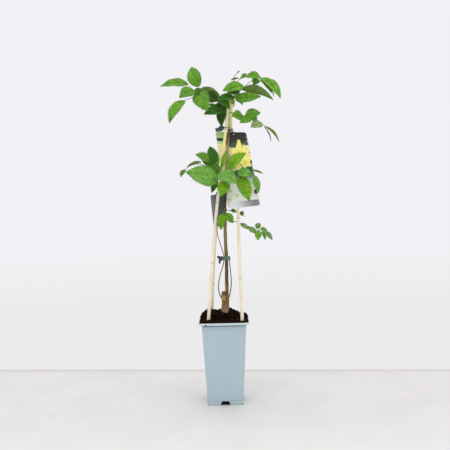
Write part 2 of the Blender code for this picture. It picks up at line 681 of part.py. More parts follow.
def at_height(stations, z):
    """Where a path of ((x, y, z), radius) stations stands at height z, with its radius."""
    heights = [centre[2] for centre, _ in stations]
    spot = [float(np.interp(z, heights, [centre[axis] for centre, _ in stations])) for axis in (0, 1)]
    return (*spot, float(np.interp(z, heights, [radius for _, radius in stations])))


def make_tie(name, stems, z_range, gap, knot_size, ends):
    """A soft tie round upright stems, knotted at the left with two loose ends."""
    middle = sum(z_range) / 2
    circles = [at_height(path, middle) for path in stems]
    tie = solid(name, *band_skin(circles, z_range, gap, TIE_THICK), "soft_tie")
    x, y, radius = min(circles, key=lambda circle: circle[0] - circle[2])
    spot = np.array((x - radius - gap - TIE_THICK - knot_size + 1.0, y, middle))
    extras = [knot("knot", spot, (knot_size, knot_size, knot_size + 0.4), "soft_tie")]
    for path, width in ends:
        points = [spot, *(spot + np.array(offset) for offset in path)]
        extras.append(strip("end", points, width, TIE_THICK, (0, -1, 0.3), "soft_tie"))
    return one_finish(combine(name, tie, extras, "UNION"), "soft_tie")


def make_tie_middle():
    """Soft tie round the leader and both side shoots."""
    ends = [([(-5, -3, 5), (-9, -3, 4)], 6.0), ([(-3, -3, -8), (-2, -4, -14)], 6.0)]
    stems = [even_path(LEADER, LEADER_STEP), SHOOT_LEFT, SHOOT_RIGHT]
    return make_tie("tie_middle", stems, TIE_MIDDLE_Z, 1.3, 6.4, ends)


def make_tie_top():
    """Soft tie round the three canes and the leader."""
    ends = [([(-8, -3, -4), (-17, -3, -6)], 11.0), ([(-4, -4, -6), (-9, -5, -9)], 8.0)]
    stems = [cane_stations(name) for name in CANES] + [even_path(LEADER, LEADER_STEP)]
    return make_tie("tie_top", stems, TIE_TOP_Z, 1.4, 5.4, ends)


def label_place(across, up, back=0.0):
    """A point of the picture label, from its own across, up and back distances."""
    s = across / LABEL_WIDE + 0.5
    t = up / LABEL_HIGH + 0.5
    low_left, low_right, high_left, high_right = (
        np.array(corner) for corner in (LABEL_LOW_LEFT, LABEL_LOW_RIGHT, LABEL_HIGH_LEFT, LABEL_HIGH_RIGHT))
    low, high = low_left + (low_right - low_left) * s, high_left + (high_right - high_left) * s
    left, right = low_left + (high_left - low_left) * t, low_right + (high_right - low_right) * t
    behind = np.cross(high - low, right - left)
    return low + (high - low) * t + back * behind / np.linalg.norm(behind)


def sheet_skin(front, back):
    """A closed thin solid between two grids of points, both faces split into triangles alike."""
    rows, columns = len(front), len(front[0])
    points = [point for row in front for point in row] + [point for row in back for point in row]
    shift = rows * columns
    faces = []
    for row in range(rows - 1):
        for column in range(columns - 1):
            low = row * columns + column
            high = low + columns
            faces += [(low, low + 1, high + 1), (low, high + 1, high)]
    faces += [tuple(shift + vertex for vertex in face[::-1]) for face in faces]
    rim = [*range(columns), *range(2 * columns - 1, shift, columns),
           *range(shift - 2, shift - columns - 1, -1), *range(shift - 2 * columns, 0, -columns)]
    for here, there in zip(rim, rim[1:] + rim[:1]):
        faces.append((there, here, shift + here, shift + there))
    return points, faces


def make_label():
    """Stiff picture card with rounded corners and a punched hole at the top."""
    turns = [math.pi / 2 * step / 4 for step in range(5)]
    upper = [(LABEL_WIDE / 2 - LABEL_CORNER * (1 - math.cos(turn)),
              LABEL_HIGH / 2 - LABEL_CORNER * (1 - math.sin(turn))) for turn in turns]
    levels = [(half, -up) for half, up in upper[::-1]]
    levels += [(LABEL_WIDE / 2, LABEL_HIGH * share) for share in (-0.3, -0.15, 0.0, 0.15, 0.3)]
    levels += upper
    front, back = ([[label_place(half * side, up, depth) for side in (-1, 0, 1)] for half, up in levels]
                   for depth in (-LABEL_THICK / 2, LABEL_THICK / 2))
    label = solid("label_card", *sheet_skin(front, back), "label_print")
    across, up = LABEL_HOLE
    hole = [(across + LABEL_HOLE_RADIUS * math.cos(a), up + LABEL_HOLE_RADIUS * math.sin(a))
            for a in np.arange(8) * math.pi / 4]
    rings = [[label_place(u, v, -4) for u, v in hole], [label_place(u, v, 4) for u, v in hole]]
    punch = solid("punch", *loft(rings), "label_print")
    return one_finish(combine("label_card", label, [punch], "DIFFERENCE"), "label_print")


def make_wire():
    """Thin wire looped round the stem and through the label's hole."""
    u, v = LABEL_HOLE
    path = [*WIRE_FRONT, label_place(u - 3, v + 6, -6.0), label_place(u - 0.5, v + 2, -3.0),
            label_place(u, v, 0.0), label_place(u + 0.5, v + 2.5, 3.0), label_place(u + 0.5, v + 9, 4.0),
            *WIRE_BACK]
    curve = smooth_curve(path, 3.0)
    points, faces = tube_skin(curve, [WIRE_RADIUS] * len(curve), 6)
    return solid("label_wire", points, faces, "wire")


def card_place(across, up, back=0.0):
    """A point of the care card, from its own across, up and back distances."""
    roll, yaw = math.radians(CARD_ROLL), math.radians(CARD_YAW)
    right = across * math.cos(roll) - up * math.sin(roll)
    high = across * math.sin(roll) + up * math.cos(roll)
    return np.add(CARD_MIDDLE, (right * math.cos(yaw) - back * math.sin(yaw),
                                right * math.sin(yaw) + back * math.cos(yaw), high))


def make_care_card():
    """Small care card whose strap loops round the left rear cane."""
    outline = []
    for quarter, (sx, sy) in enumerate(((1, 1), (-1, 1), (-1, -1), (1, -1))):
        for step in (0.0, 0.5, 1.0):
            angle = (quarter + step) * math.pi / 2
            outline.append((sx * (CARD_WIDE / 2 - CARD_CORNER) + CARD_CORNER * math.cos(angle),
                            sy * (CARD_HIGH / 2 - CARD_CORNER) + CARD_CORNER * math.sin(angle)))
    rings = [[card_place(u, v, depth) for u, v in outline] for depth in (-CARD_THICK / 2, CARD_THICK / 2)]
    card = solid("care_card", *loft(rings), "card_back")
    x, y, radius = at_height(cane_stations("cane_back_left"), CARD_STRAP_Z)
    ring = band_skin([(x, y, radius)], (CARD_STRAP_Z - 4, CARD_STRAP_Z + 4), 1.0, 1.0)
    front = np.array((x - 1, y - radius - 1.6, CARD_STRAP_Z))
    strap = strip("strap", [card_place(0, CARD_HIGH / 2 - 4), card_place(0, CARD_HIGH / 2 + 2), front],
                  8.0, 0.9, (0, -1, 0.2), "card_back")
    return one_finish(combine("care_card", card, [solid("loop", *ring, "card_back"), strap], "UNION"),
                      "card_back")


# ---------------------------------------------------------------- leaves

def blade_share(t):
    """Half width of a leaflet along its length, as a share of its widest: egg shaped, drawn out tip."""
    return t ** 0.55 * (1 - t) ** 0.9 / (0.3793 ** 0.55 * 0.6207 ** 0.9)


def leaflet_skin(root, base, tip, width, facing, arch):
    """A toothed leaflet on its short stalk, as a thin closed solid.

    The midrib runs from the base to the tip with a rise of 4 arch t (1 - t); each edge point goes out
    from it by the half width, in and out by turns for the teeth, and up by the fold.
    """
    root, base, tip = (np.array(value, float) for value in (root, base, tip))
    length = np.linalg.norm(tip - base)
    way = (tip - base) / length
    side = np.cross(way, facing)
    side /= np.linalg.norm(side)
    up = np.cross(side, way)
    teeth = 3 if length < 38 else 4 if length < 64 else 5
    stations = [(root, LEAFLET_STALK_HALF, 0.0)]
    for index in range(2 * teeth):
        t = index / (2 * teeth)
        middle = base + way * length * t + up * 4 * arch * length * t * (1 - t)
        half = width / 2 * blade_share(max(t, 0.012))
        tooth = TOOTH_OUT if index % 2 else TOOTH_IN
        lead = length * (TOOTH_LEAD if index % 2 else -NOTCH_LAG)
        stations.append((middle, max(half * tooth, LEAFLET_STALK_HALF), lead if index else 0.0))
    centres = [station[0] for station in stations]
    rise, out = math.sin(FOLD), math.cos(FOLD)
    left_edge, right_edge = ([middle + side * sign * half * out + up * half * rise + way * lead
                              for middle, half, lead in stations] for sign in (1, -1))
    count = len(stations)
    drop = up * BLADE_THICK
    upper = [*left_edge, *centres, *right_edge, tip]
    points = upper + [point - drop for point in upper]
    shift = len(upper)
    end = shift - 1
    faces = []
    for index in range(count - 1):
        left, mid, right = index, count + index, 2 * count + index
        faces += [(left, mid, left + 1), (mid, mid + 1, left + 1),
                  (mid, right, right + 1), (mid, right + 1, mid + 1)]
    last = count - 1
    faces += [(last, count + last, end), (count + last, 2 * count + last, end)]
    faces += [tuple(shift + vertex for vertex in face[::-1]) for face in faces]
    rim = [*range(count), end, *range(3 * count - 1, 2 * count - 1, -1), count]
    for here, there in zip(rim, rim[1:] + rim[:1]):
        faces.append((here, there, shift + there, shift + here))
    return points, faces


def leaflet_root(path, base):
    """Where a leaflet leaves its stalk: the nearest of the path's points, set back into the stalk."""
    inner = path[3:-1]
    near = inner[int(np.linalg.norm(inner - np.array(base, float), axis=1).argmin())]
    way = np.array(base, float) - near
    return near - 0.3 * way / np.linalg.norm(way) + np.array((0.0, 0.0, BLADE_THICK / 2))


def stem_side(height, toward, radius):
    """Where a leaf's stalk starts: just clear of the leader, at a height, on the side that it leaves by."""
    x, y, girth = at_height(even_path(LEADER, LEADER_STEP), height)
    centre = np.array((x, y, height))
    out = np.array(toward, float) - centre
    level = math.hypot(out[0], out[1])
    slope = abs(out[2]) / np.linalg.norm(out)
    reach = girth + FIT + radius * slope + 0.2
    return centre + np.array((out[0], out[1], 0.0)) / level * reach


def make_leaf(name):
    """One compound leaf: a tapering stalk and its toothed leaflets, fused into one body."""
    leaf = LEAVES[name]
    route = leaf["stalk"]
    if "leaves_stem_at" in leaf:
        route = [stem_side(leaf["leaves_stem_at"], route[0], LEAF_STALK_RADIUS), *route]
    curve = smooth_curve(route, 11.0)
    radii = np.linspace(LEAF_STALK_RADIUS, LEAF_STALK_RADIUS * 0.6, len(curve))
    stalk = solid(name, *tube_skin(curve, radii, STALK_SIDES), "leaf")
    fine = np.vstack([start + (end - start) * share for start, end in zip(curve, curve[1:])
                      for share in np.linspace(0.0, 1.0, 12)[:-1]])
    parts = []
    for index, (base, tip, width, facing, arch) in enumerate(leaf["leaflets"]):
        root = leaflet_root(fine, base)
        skin = leaflet_skin(root, base, tip, width, facing, arch)
        parts.append(solid(f"{name}_leaflet_{index}", *skin, "leaf"))
    if name == "tip":
        bud_curve = smooth_curve(BUD_STALK, 8.0)
        bud_skin = tube_skin(bud_curve, [BUD_STALK_RADIUS] * len(bud_curve), STALK_SIDES)
        parts.append(solid("bud_stalk", *bud_skin, "leaf"))
        parts.append(knot("bud", BUD_STALK[-1], (BUD_RADIUS, BUD_RADIUS, BUD_RADIUS * 1.5), "leaf"))
    return one_finish(combine(name, stalk, parts, "UNION", "MANIFOLD"), "leaf")


# ---------------------------------------------------------------- build

def clear_scene():
    """Remove whatever the scene holds."""
    for thing in list(bpy.data.objects):
        bpy.data.objects.remove(thing)


def shade_rounds():
    """Shade round forms smooth and keep real edges sharp."""
    for thing in bpy.data.objects:
        thing.data.shade_smooth()
        thing.data.set_sharp_from_angle(angle=SHARP_ABOVE)


def build():
    """Make every piece of the potted vine."""
    clear_scene()
    make_pot()
    for name in CANES:
        make_cane(name)
    make_stem()
    make_soil(make_stem_hole(), [make_cane_hole(name) for name in CANES])
    make_tie_middle()
    make_tie_top()
    make_label()
    make_wire()
    make_care_card()
    for name in LEAVES:
        make_leaf(name)
    shade_rounds()


build()
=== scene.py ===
"""Looks of a potted trumpet vine: leaves, bark, canes, peat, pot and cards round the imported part.

Lengths in the lists and functions are in millimetres, in the part's own frame, and MM turns them to
metres when a mesh is made. Places that the materials and the stage read are in metres.
"""
import math
from functools import partial

import bmesh
import bpy
import numpy as np
from mathutils import Matrix, Vector


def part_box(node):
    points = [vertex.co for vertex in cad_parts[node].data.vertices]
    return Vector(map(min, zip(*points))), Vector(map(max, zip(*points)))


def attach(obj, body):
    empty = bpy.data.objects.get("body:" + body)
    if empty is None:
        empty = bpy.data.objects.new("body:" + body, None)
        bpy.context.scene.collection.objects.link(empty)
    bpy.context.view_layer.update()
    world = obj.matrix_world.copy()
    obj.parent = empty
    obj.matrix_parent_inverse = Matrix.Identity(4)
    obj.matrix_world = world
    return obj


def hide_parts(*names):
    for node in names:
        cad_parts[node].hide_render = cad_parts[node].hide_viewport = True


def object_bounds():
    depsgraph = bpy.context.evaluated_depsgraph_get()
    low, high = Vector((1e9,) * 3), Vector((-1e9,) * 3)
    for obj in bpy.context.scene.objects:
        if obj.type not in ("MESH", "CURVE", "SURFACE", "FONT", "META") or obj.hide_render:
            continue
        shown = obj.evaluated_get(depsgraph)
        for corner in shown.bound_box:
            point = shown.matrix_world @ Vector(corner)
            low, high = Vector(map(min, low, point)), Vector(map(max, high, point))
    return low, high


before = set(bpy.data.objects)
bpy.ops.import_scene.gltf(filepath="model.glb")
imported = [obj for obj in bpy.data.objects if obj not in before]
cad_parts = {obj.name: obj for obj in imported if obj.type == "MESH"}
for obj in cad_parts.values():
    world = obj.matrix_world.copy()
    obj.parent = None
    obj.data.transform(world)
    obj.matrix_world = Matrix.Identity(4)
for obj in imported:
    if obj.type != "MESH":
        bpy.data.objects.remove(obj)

bl_info = {
    "name": "Potted trumpet vine",
    "version": (1, 0, 0),
    "blender": (4, 5, 0),
    "location": "View3D > Sidebar > Vine",
    "description": "Dresses the solids of a potted trumpet vine with leaves, bark, peat and print",
    "category": "Object",
}

MM = 0.001
TURN = 2 * math.pi
BODY = "root"
GAP = 0.35

BOX = np.array(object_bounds()) / MM
POT_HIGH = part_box("pot")[1].z / MM
RIM_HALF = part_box("pot")[1].x / MM
FOOT_HALF, NECK_HALF, WALL, FLOOR = 50.0, 62.8, 1.6, 2.2
LIP_DROP, FOOT_BAND, FOOT_PROUD = 6.0, 11.0, 0.7
CORNER_FOOT, CORNER_RIM, CORNER_LIP = 12.0, 15.0, 18.0
CHANNEL_HALF, CHANNEL_ROOF_HALF, CHANNEL_HIGH = 14.0, 9.5, 10.5
DRAINS = [(0, 0), (30, 0), (-30, 0), (0, 30), (0, -30)]
DRAIN_RADIUS = 4.5
SOIL_TOP, SOIL_HALF, SOIL_LEAST, SOIL_FOOT = 251.2, RIM_HALF - 2.6, 0.9, 160.0
SOIL_CROWN, SOIL_SHOULDER, SOIL_RIGHT, SOIL_FRONT, SOIL_CORNER = 3.0, 17.0, 0.011, 0.62, 0.012
SOIL_RIGHT_FROM, SOIL_FRONT_FROM, SOIL_BEND = 12.0, 2.0, 8.0

# Each cane: the points of its middle line and the heights of its knuckles
CANES = {
    "cane_front_left": ([(-49, -37, 150), (-43, -35, 236), (-26, -29, 431), (-9, -22, 587),
                         (17, -13, 775), (23, -10, 850)], (212, 395, 566, 745)),
    "cane_back_left": ([(-41, 47, 150), (-35, 42, 254), (-23.5, 26, 429), (-5, 17, 590),
                        (18, 13, 775), (23, 13, 850)], (195, 330, 505, 690)),
    "cane_right": ([(47, -42, 150), (51, -44, 232), (47.5, -33, 400), (46.5, -20, 543),
                    (41, -2, 650), (32, 11, 775), (35.5, 9, 850)], (200, 352, 520, 705)),
}
CANE_RADIUS, CANE_TAPER, KNUCKLE_RISE, KNUCKLE_GROOVE = 4.7, 0.5, 0.75, 0.28

# Each point of a limb is x, y, z and radius
TRUNK = [(4, 0, 196, 7.0), (4, 0, 236, 11.6), (4, 0, 254, 11.2), (5, -1, 272, 10.4), (7, -2, 290, 9.4),
         (9, -2, 304, 6.2)]
STUMP = [(5, -1, 268, 8.2), (3, -4, 284, 8.6), (1, -6, 299, 6.8), (1, -7, 309, 5.9)]
LEADER = [(7, -2, 284, 6.0), (9.5, -2, 304, 5.4), (10, -3, 343, 5.1), (10.8, -8, 395, 5.0),
          (9, -12, 458, 4.8), (9, -15, 501, 4.7), (9.5, -20, 558, 4.5), (13, -24, 629, 4.3),
          (19, -17, 700, 3.8), (26, -4, 773, 3.1), (28.5, -2, 826, 2.6), (33, -1, 860, 2.2),
          (38, 0, 886, 1.7)]
SHOOT_LEFT = [(1, -4, 286, 1.9), (-8, -7, 296, 1.7), (-14, -8, 318, 1.5), (-13, -9, 335, 1.5),
              (-8, -11, 359, 1.4), (0, -16, 384, 1.4), (3.5, -17, 404, 1.4), (2, -18, 420, 1.3),
              (-6, -15, 448, 1.2), (-13, -10, 474, 1.1), (-15, -4, 500, 0.9)]
SHOOT_RIGHT = [(9, -3, 284, 1.8), (17, -5, 297, 1.6), (23, -5, 330, 1.5), (22.5, -5, 357, 1.4),
               (20, -8, 388, 1.3), (18, -9.5, 408, 1.2)]
BUD_JOINTS = (330, 420, 470, 524, 546, 590, 619, 630, 649, 700, 745, 790, 823, 866, 875)
STEM_VOXEL, ROUGH_TOP, ROUGH_FADE, CUT_RADIUS = 0.85, 330, 60, 7.5

# Each tie: its low and high edge, its gap round what it holds, its knot's radius, and its loose ends, each
# as offsets from the knot and a width
TIES = {
    "tie_middle": (400.5, 411.5, 1.3, 6.4, [([(-5, -3, 5), (-9, -3, 4)], 6.0),
                                            ([(-3, -3, -8), (-2, -4, -14)], 6.0)]),
    "tie_top": (776.0, 779.5, 1.4, 6.6, [([(-8, -3, -4), (-17, -3, -6)], 11.0),
                                         ([(-4, -4, -6), (-9, -5, -9)], 8.0)]),
}
TIE_THICK = 1.5

LABEL_CORNERS = ((19.0, -16.0, 546.0), (109.0, -46.0, 554.0), (-14.0, 7.0, 771.0), (75.0, -2.0, 766.0))
LABEL_WIDE, LABEL_HIGH, LABEL_ROUND = 92.5, 223.5, 7.0
LABEL_HOLE, LABEL_HOLE_RADIUS = (7.5, 106.0), 1.9
WIRE_FRONT = [(20.8, -2.0, 771.0), (21.2, -6.5, 772.0), (24.5, -9.3, 773.0), (29.5, -9.3, 772.6)]
WIRE_BACK = [(35.5, 3.6, 772.8), (29.5, 2.2, 773.2), (23.5, 1.0, 773.6), (20.6, -2.0, 774.0)]
# The wire's turn through the label's hole: across, up and back from the hole's middle
WIRE_HOOK = [(-3, 6, -6), (-0.5, 2, -3), (0, 0, 0), (0.5, 2.5, 3), (0.5, 9, 4)]
WIRE_RADIUS = 0.9
CARD_WIDE, CARD_HIGH, CARD_ROUND = 40.0, 92.0, 4.0
CARD_MIDDLE, CARD_ROLL, CARD_YAW, CARD_STRAP_Z = (-8.5, 0.0, 544.0), 5.0, -12.0, 604.0
CARD_THICK = 0.8
STRAP_WIDE, STRAP_THICK, STRAP_RADIUS = 8.0, 0.9, CANE_RADIUS - 0.28 + 1.5

# The stage, in metres: its lamps as name, place, size and share of the key light's power, the point that
# they are turned to, the camera's place and its roll in degrees, and how much the floor's end comes
# forward for each metre to the right
LAMPS = (("key", (-1.3, -1.6, 2.4), 1.6, 1.0), ("fill", (1.8, -1.4, 1.5), 1.8, 0.5),
         ("top", (0.1, 0.2, 2.6), 1.6, 0.8))
LAMP_AIM = (0.0, 0.0, 0.5)
CAMERA_PLACE, CAMERA_ROLL = (0.0086, -1.497, 0.501), -1.2
FLOOR_SLANT = 0.0726

# Places in the materials, in metres like the coordinates that they read: ranges over which a share comes
# in, and pairs of ranges over which a stripe comes in and goes out
# The second range is where a painted highlight makes the pot's lip paler
POT_DUST, LIP_HIGHLIGHT = (0.045, 0.0), (0.2245, 0.2265)
# Painted shade with some dirt in the crease under the pot's lip
LIP_CREASE_SHADE_AND_DIRT = ((0.2190, 0.2225), (0.2254, 0.2250))
# Painted shade: a darker line at the step on top of the foot band
FOOT_STEP_SHADE = ((0.0096, 0.0108), (0.0130, 0.0116))
# Painted shade in the channel under the pot, by distance from the foot's rounded square and by height
CHANNEL_SHADE_REACH, CHANNEL_SHADE_TOP = (0.0108, 0.0098), (0.0125, 0.0118)
SMUDGE = (-0.0500, -0.0715, 0.2242)
# The first range is where the cane turns pale yellow-green, partly its own tint and partly painted light
# against the leaves' shade; the second is a painted yellow reflection of the label on the cane
CANE_TOP_PALE_AND_LIT, CANE_LABEL_BOUNCE = (0.76, 0.80), ((0.66, 0.69), (0.775, 0.76))
TIE_PALE = (0.5, 0.7)
# The floor's painted shadow under the pot, by distance from its middle
POT_SHADE_REACH = (0.0505, 0.0485)
VEIN_NET = 520                  # cells of the leaf's finest net in a metre
SPECULAR = "Specular IOR Level"

# Colours up the stem, from 0.24 to 0.90 m above the ground, then spots on the trunk: middle, radius,
# colour and share. The dark stops from 0.46 to 0.55 are painted shade where the care card and leaves
# shade the stem, and the pale stops from 0.83 to 0.88 are partly the young stem's own pale green and
# partly painted light against the leaves' shade.
BARK_AND_SHADE_RAMP = ((0.0, "#75654A"), (0.06, "#8A6A3C"), (0.14, "#5E4C36"), (0.23, "#5C4E2E"), (0.32, "#7E7648"),
             (0.42, "#8E8A5C"), (0.46, "#4A4024"), (0.50, "#2A2412"), (0.55, "#2A2412"), (0.60, "#6A6040"),
             (0.64, "#A8A46C"), (0.73, "#AAA668"), (0.755, "#8F7F50"), (0.79, "#6E5430"), (0.812, "#8A7044"),
             (0.83, "#DCD29A"), (0.88, "#F4F0B8"), (1.0, "#98A050"))
BARK_SPOTS = (((0.0040, -0.0110, 0.2570), 0.016, "#A28C70", 0.55),
              ((0.0005, -0.0130, 0.2930), 0.009, "#C09A60", 0.75),
              ((0.0078, -0.0115, 0.2925), 0.004, "#241604", 0.85),
              ((0.0085, -0.0085, 0.3060), 0.008, "#5A4228", 0.6))

# The printed tag at the label's left top, by share of its height, and the blooms of its picture: middle
# across and up in mm, radius, turn in degrees, trumpet's length in radii, petal and throat colour
LABEL_TAG = (((0.915, 0.925), "#B8DC86"), ((0.881, 0.876), "#A4E2A0"), ((0.85, 0.84), "#FFF7A4"))
BLOOMS = (
    (18, 160, 15, 110, 1.6, "#FFF4A8", "#FAD9B0"), (10, 136, 12, 70, 0.0, "#FBF4C8", "#F6C8A8"),
    (84, 172, 15, -20, 0.0, "#FFF8A6", "#FFF090"), (40, 164, 16, 120, 0.0, "#FFFAB8", "#F4E68C"),
    (44, 142, 17, 300, 0.0, "#FFF9B0", "#FBE870"), (61, 158, 25, 83, 1.75, "#FFF98A", "#FFE936"),
    (84, 150, 15, 20, 0.0, "#FFF9A8", "#FFEE80"), (73, 131, 20, 35, 0.0, "#FFFC96", "#FFEC60"),
    (30, 112, 12, 45, 0.0, "#FFFBC0", "#F4E690"), (50, 118, 12, 10, 0.0, "#FFF8A8", "#F6E470"),
    (20, 78, 11, 0, 0.0, "#FFFFF6", "#E0EC9A"), (42, 66, 13, 40, 0.0, "#FFFFFA", "#DCE8A0"),
    (14, 50, 11, 80, 0.0, "#F8FDEE", "#D2E088"), (60, 80, 11, 20, 0.0, "#FBFCEC", "#D8E090"),
    (32, 36, 12, 65, 0.0, "#FDFFF6", "#DDE9A4"), (70, 50, 14, 10, 0.0, "#FAF4A0", "#D2D860"),
    (84, 72, 11, 50, 0.0, "#A8F0CC", "#ECF08A"), (56, 30, 10, 30, 0.0, "#FAFAE6", "#C2D070"),
    (10, 26, 9, 15, 0.0, "#F2FAEC", "#C6D69A"),
)

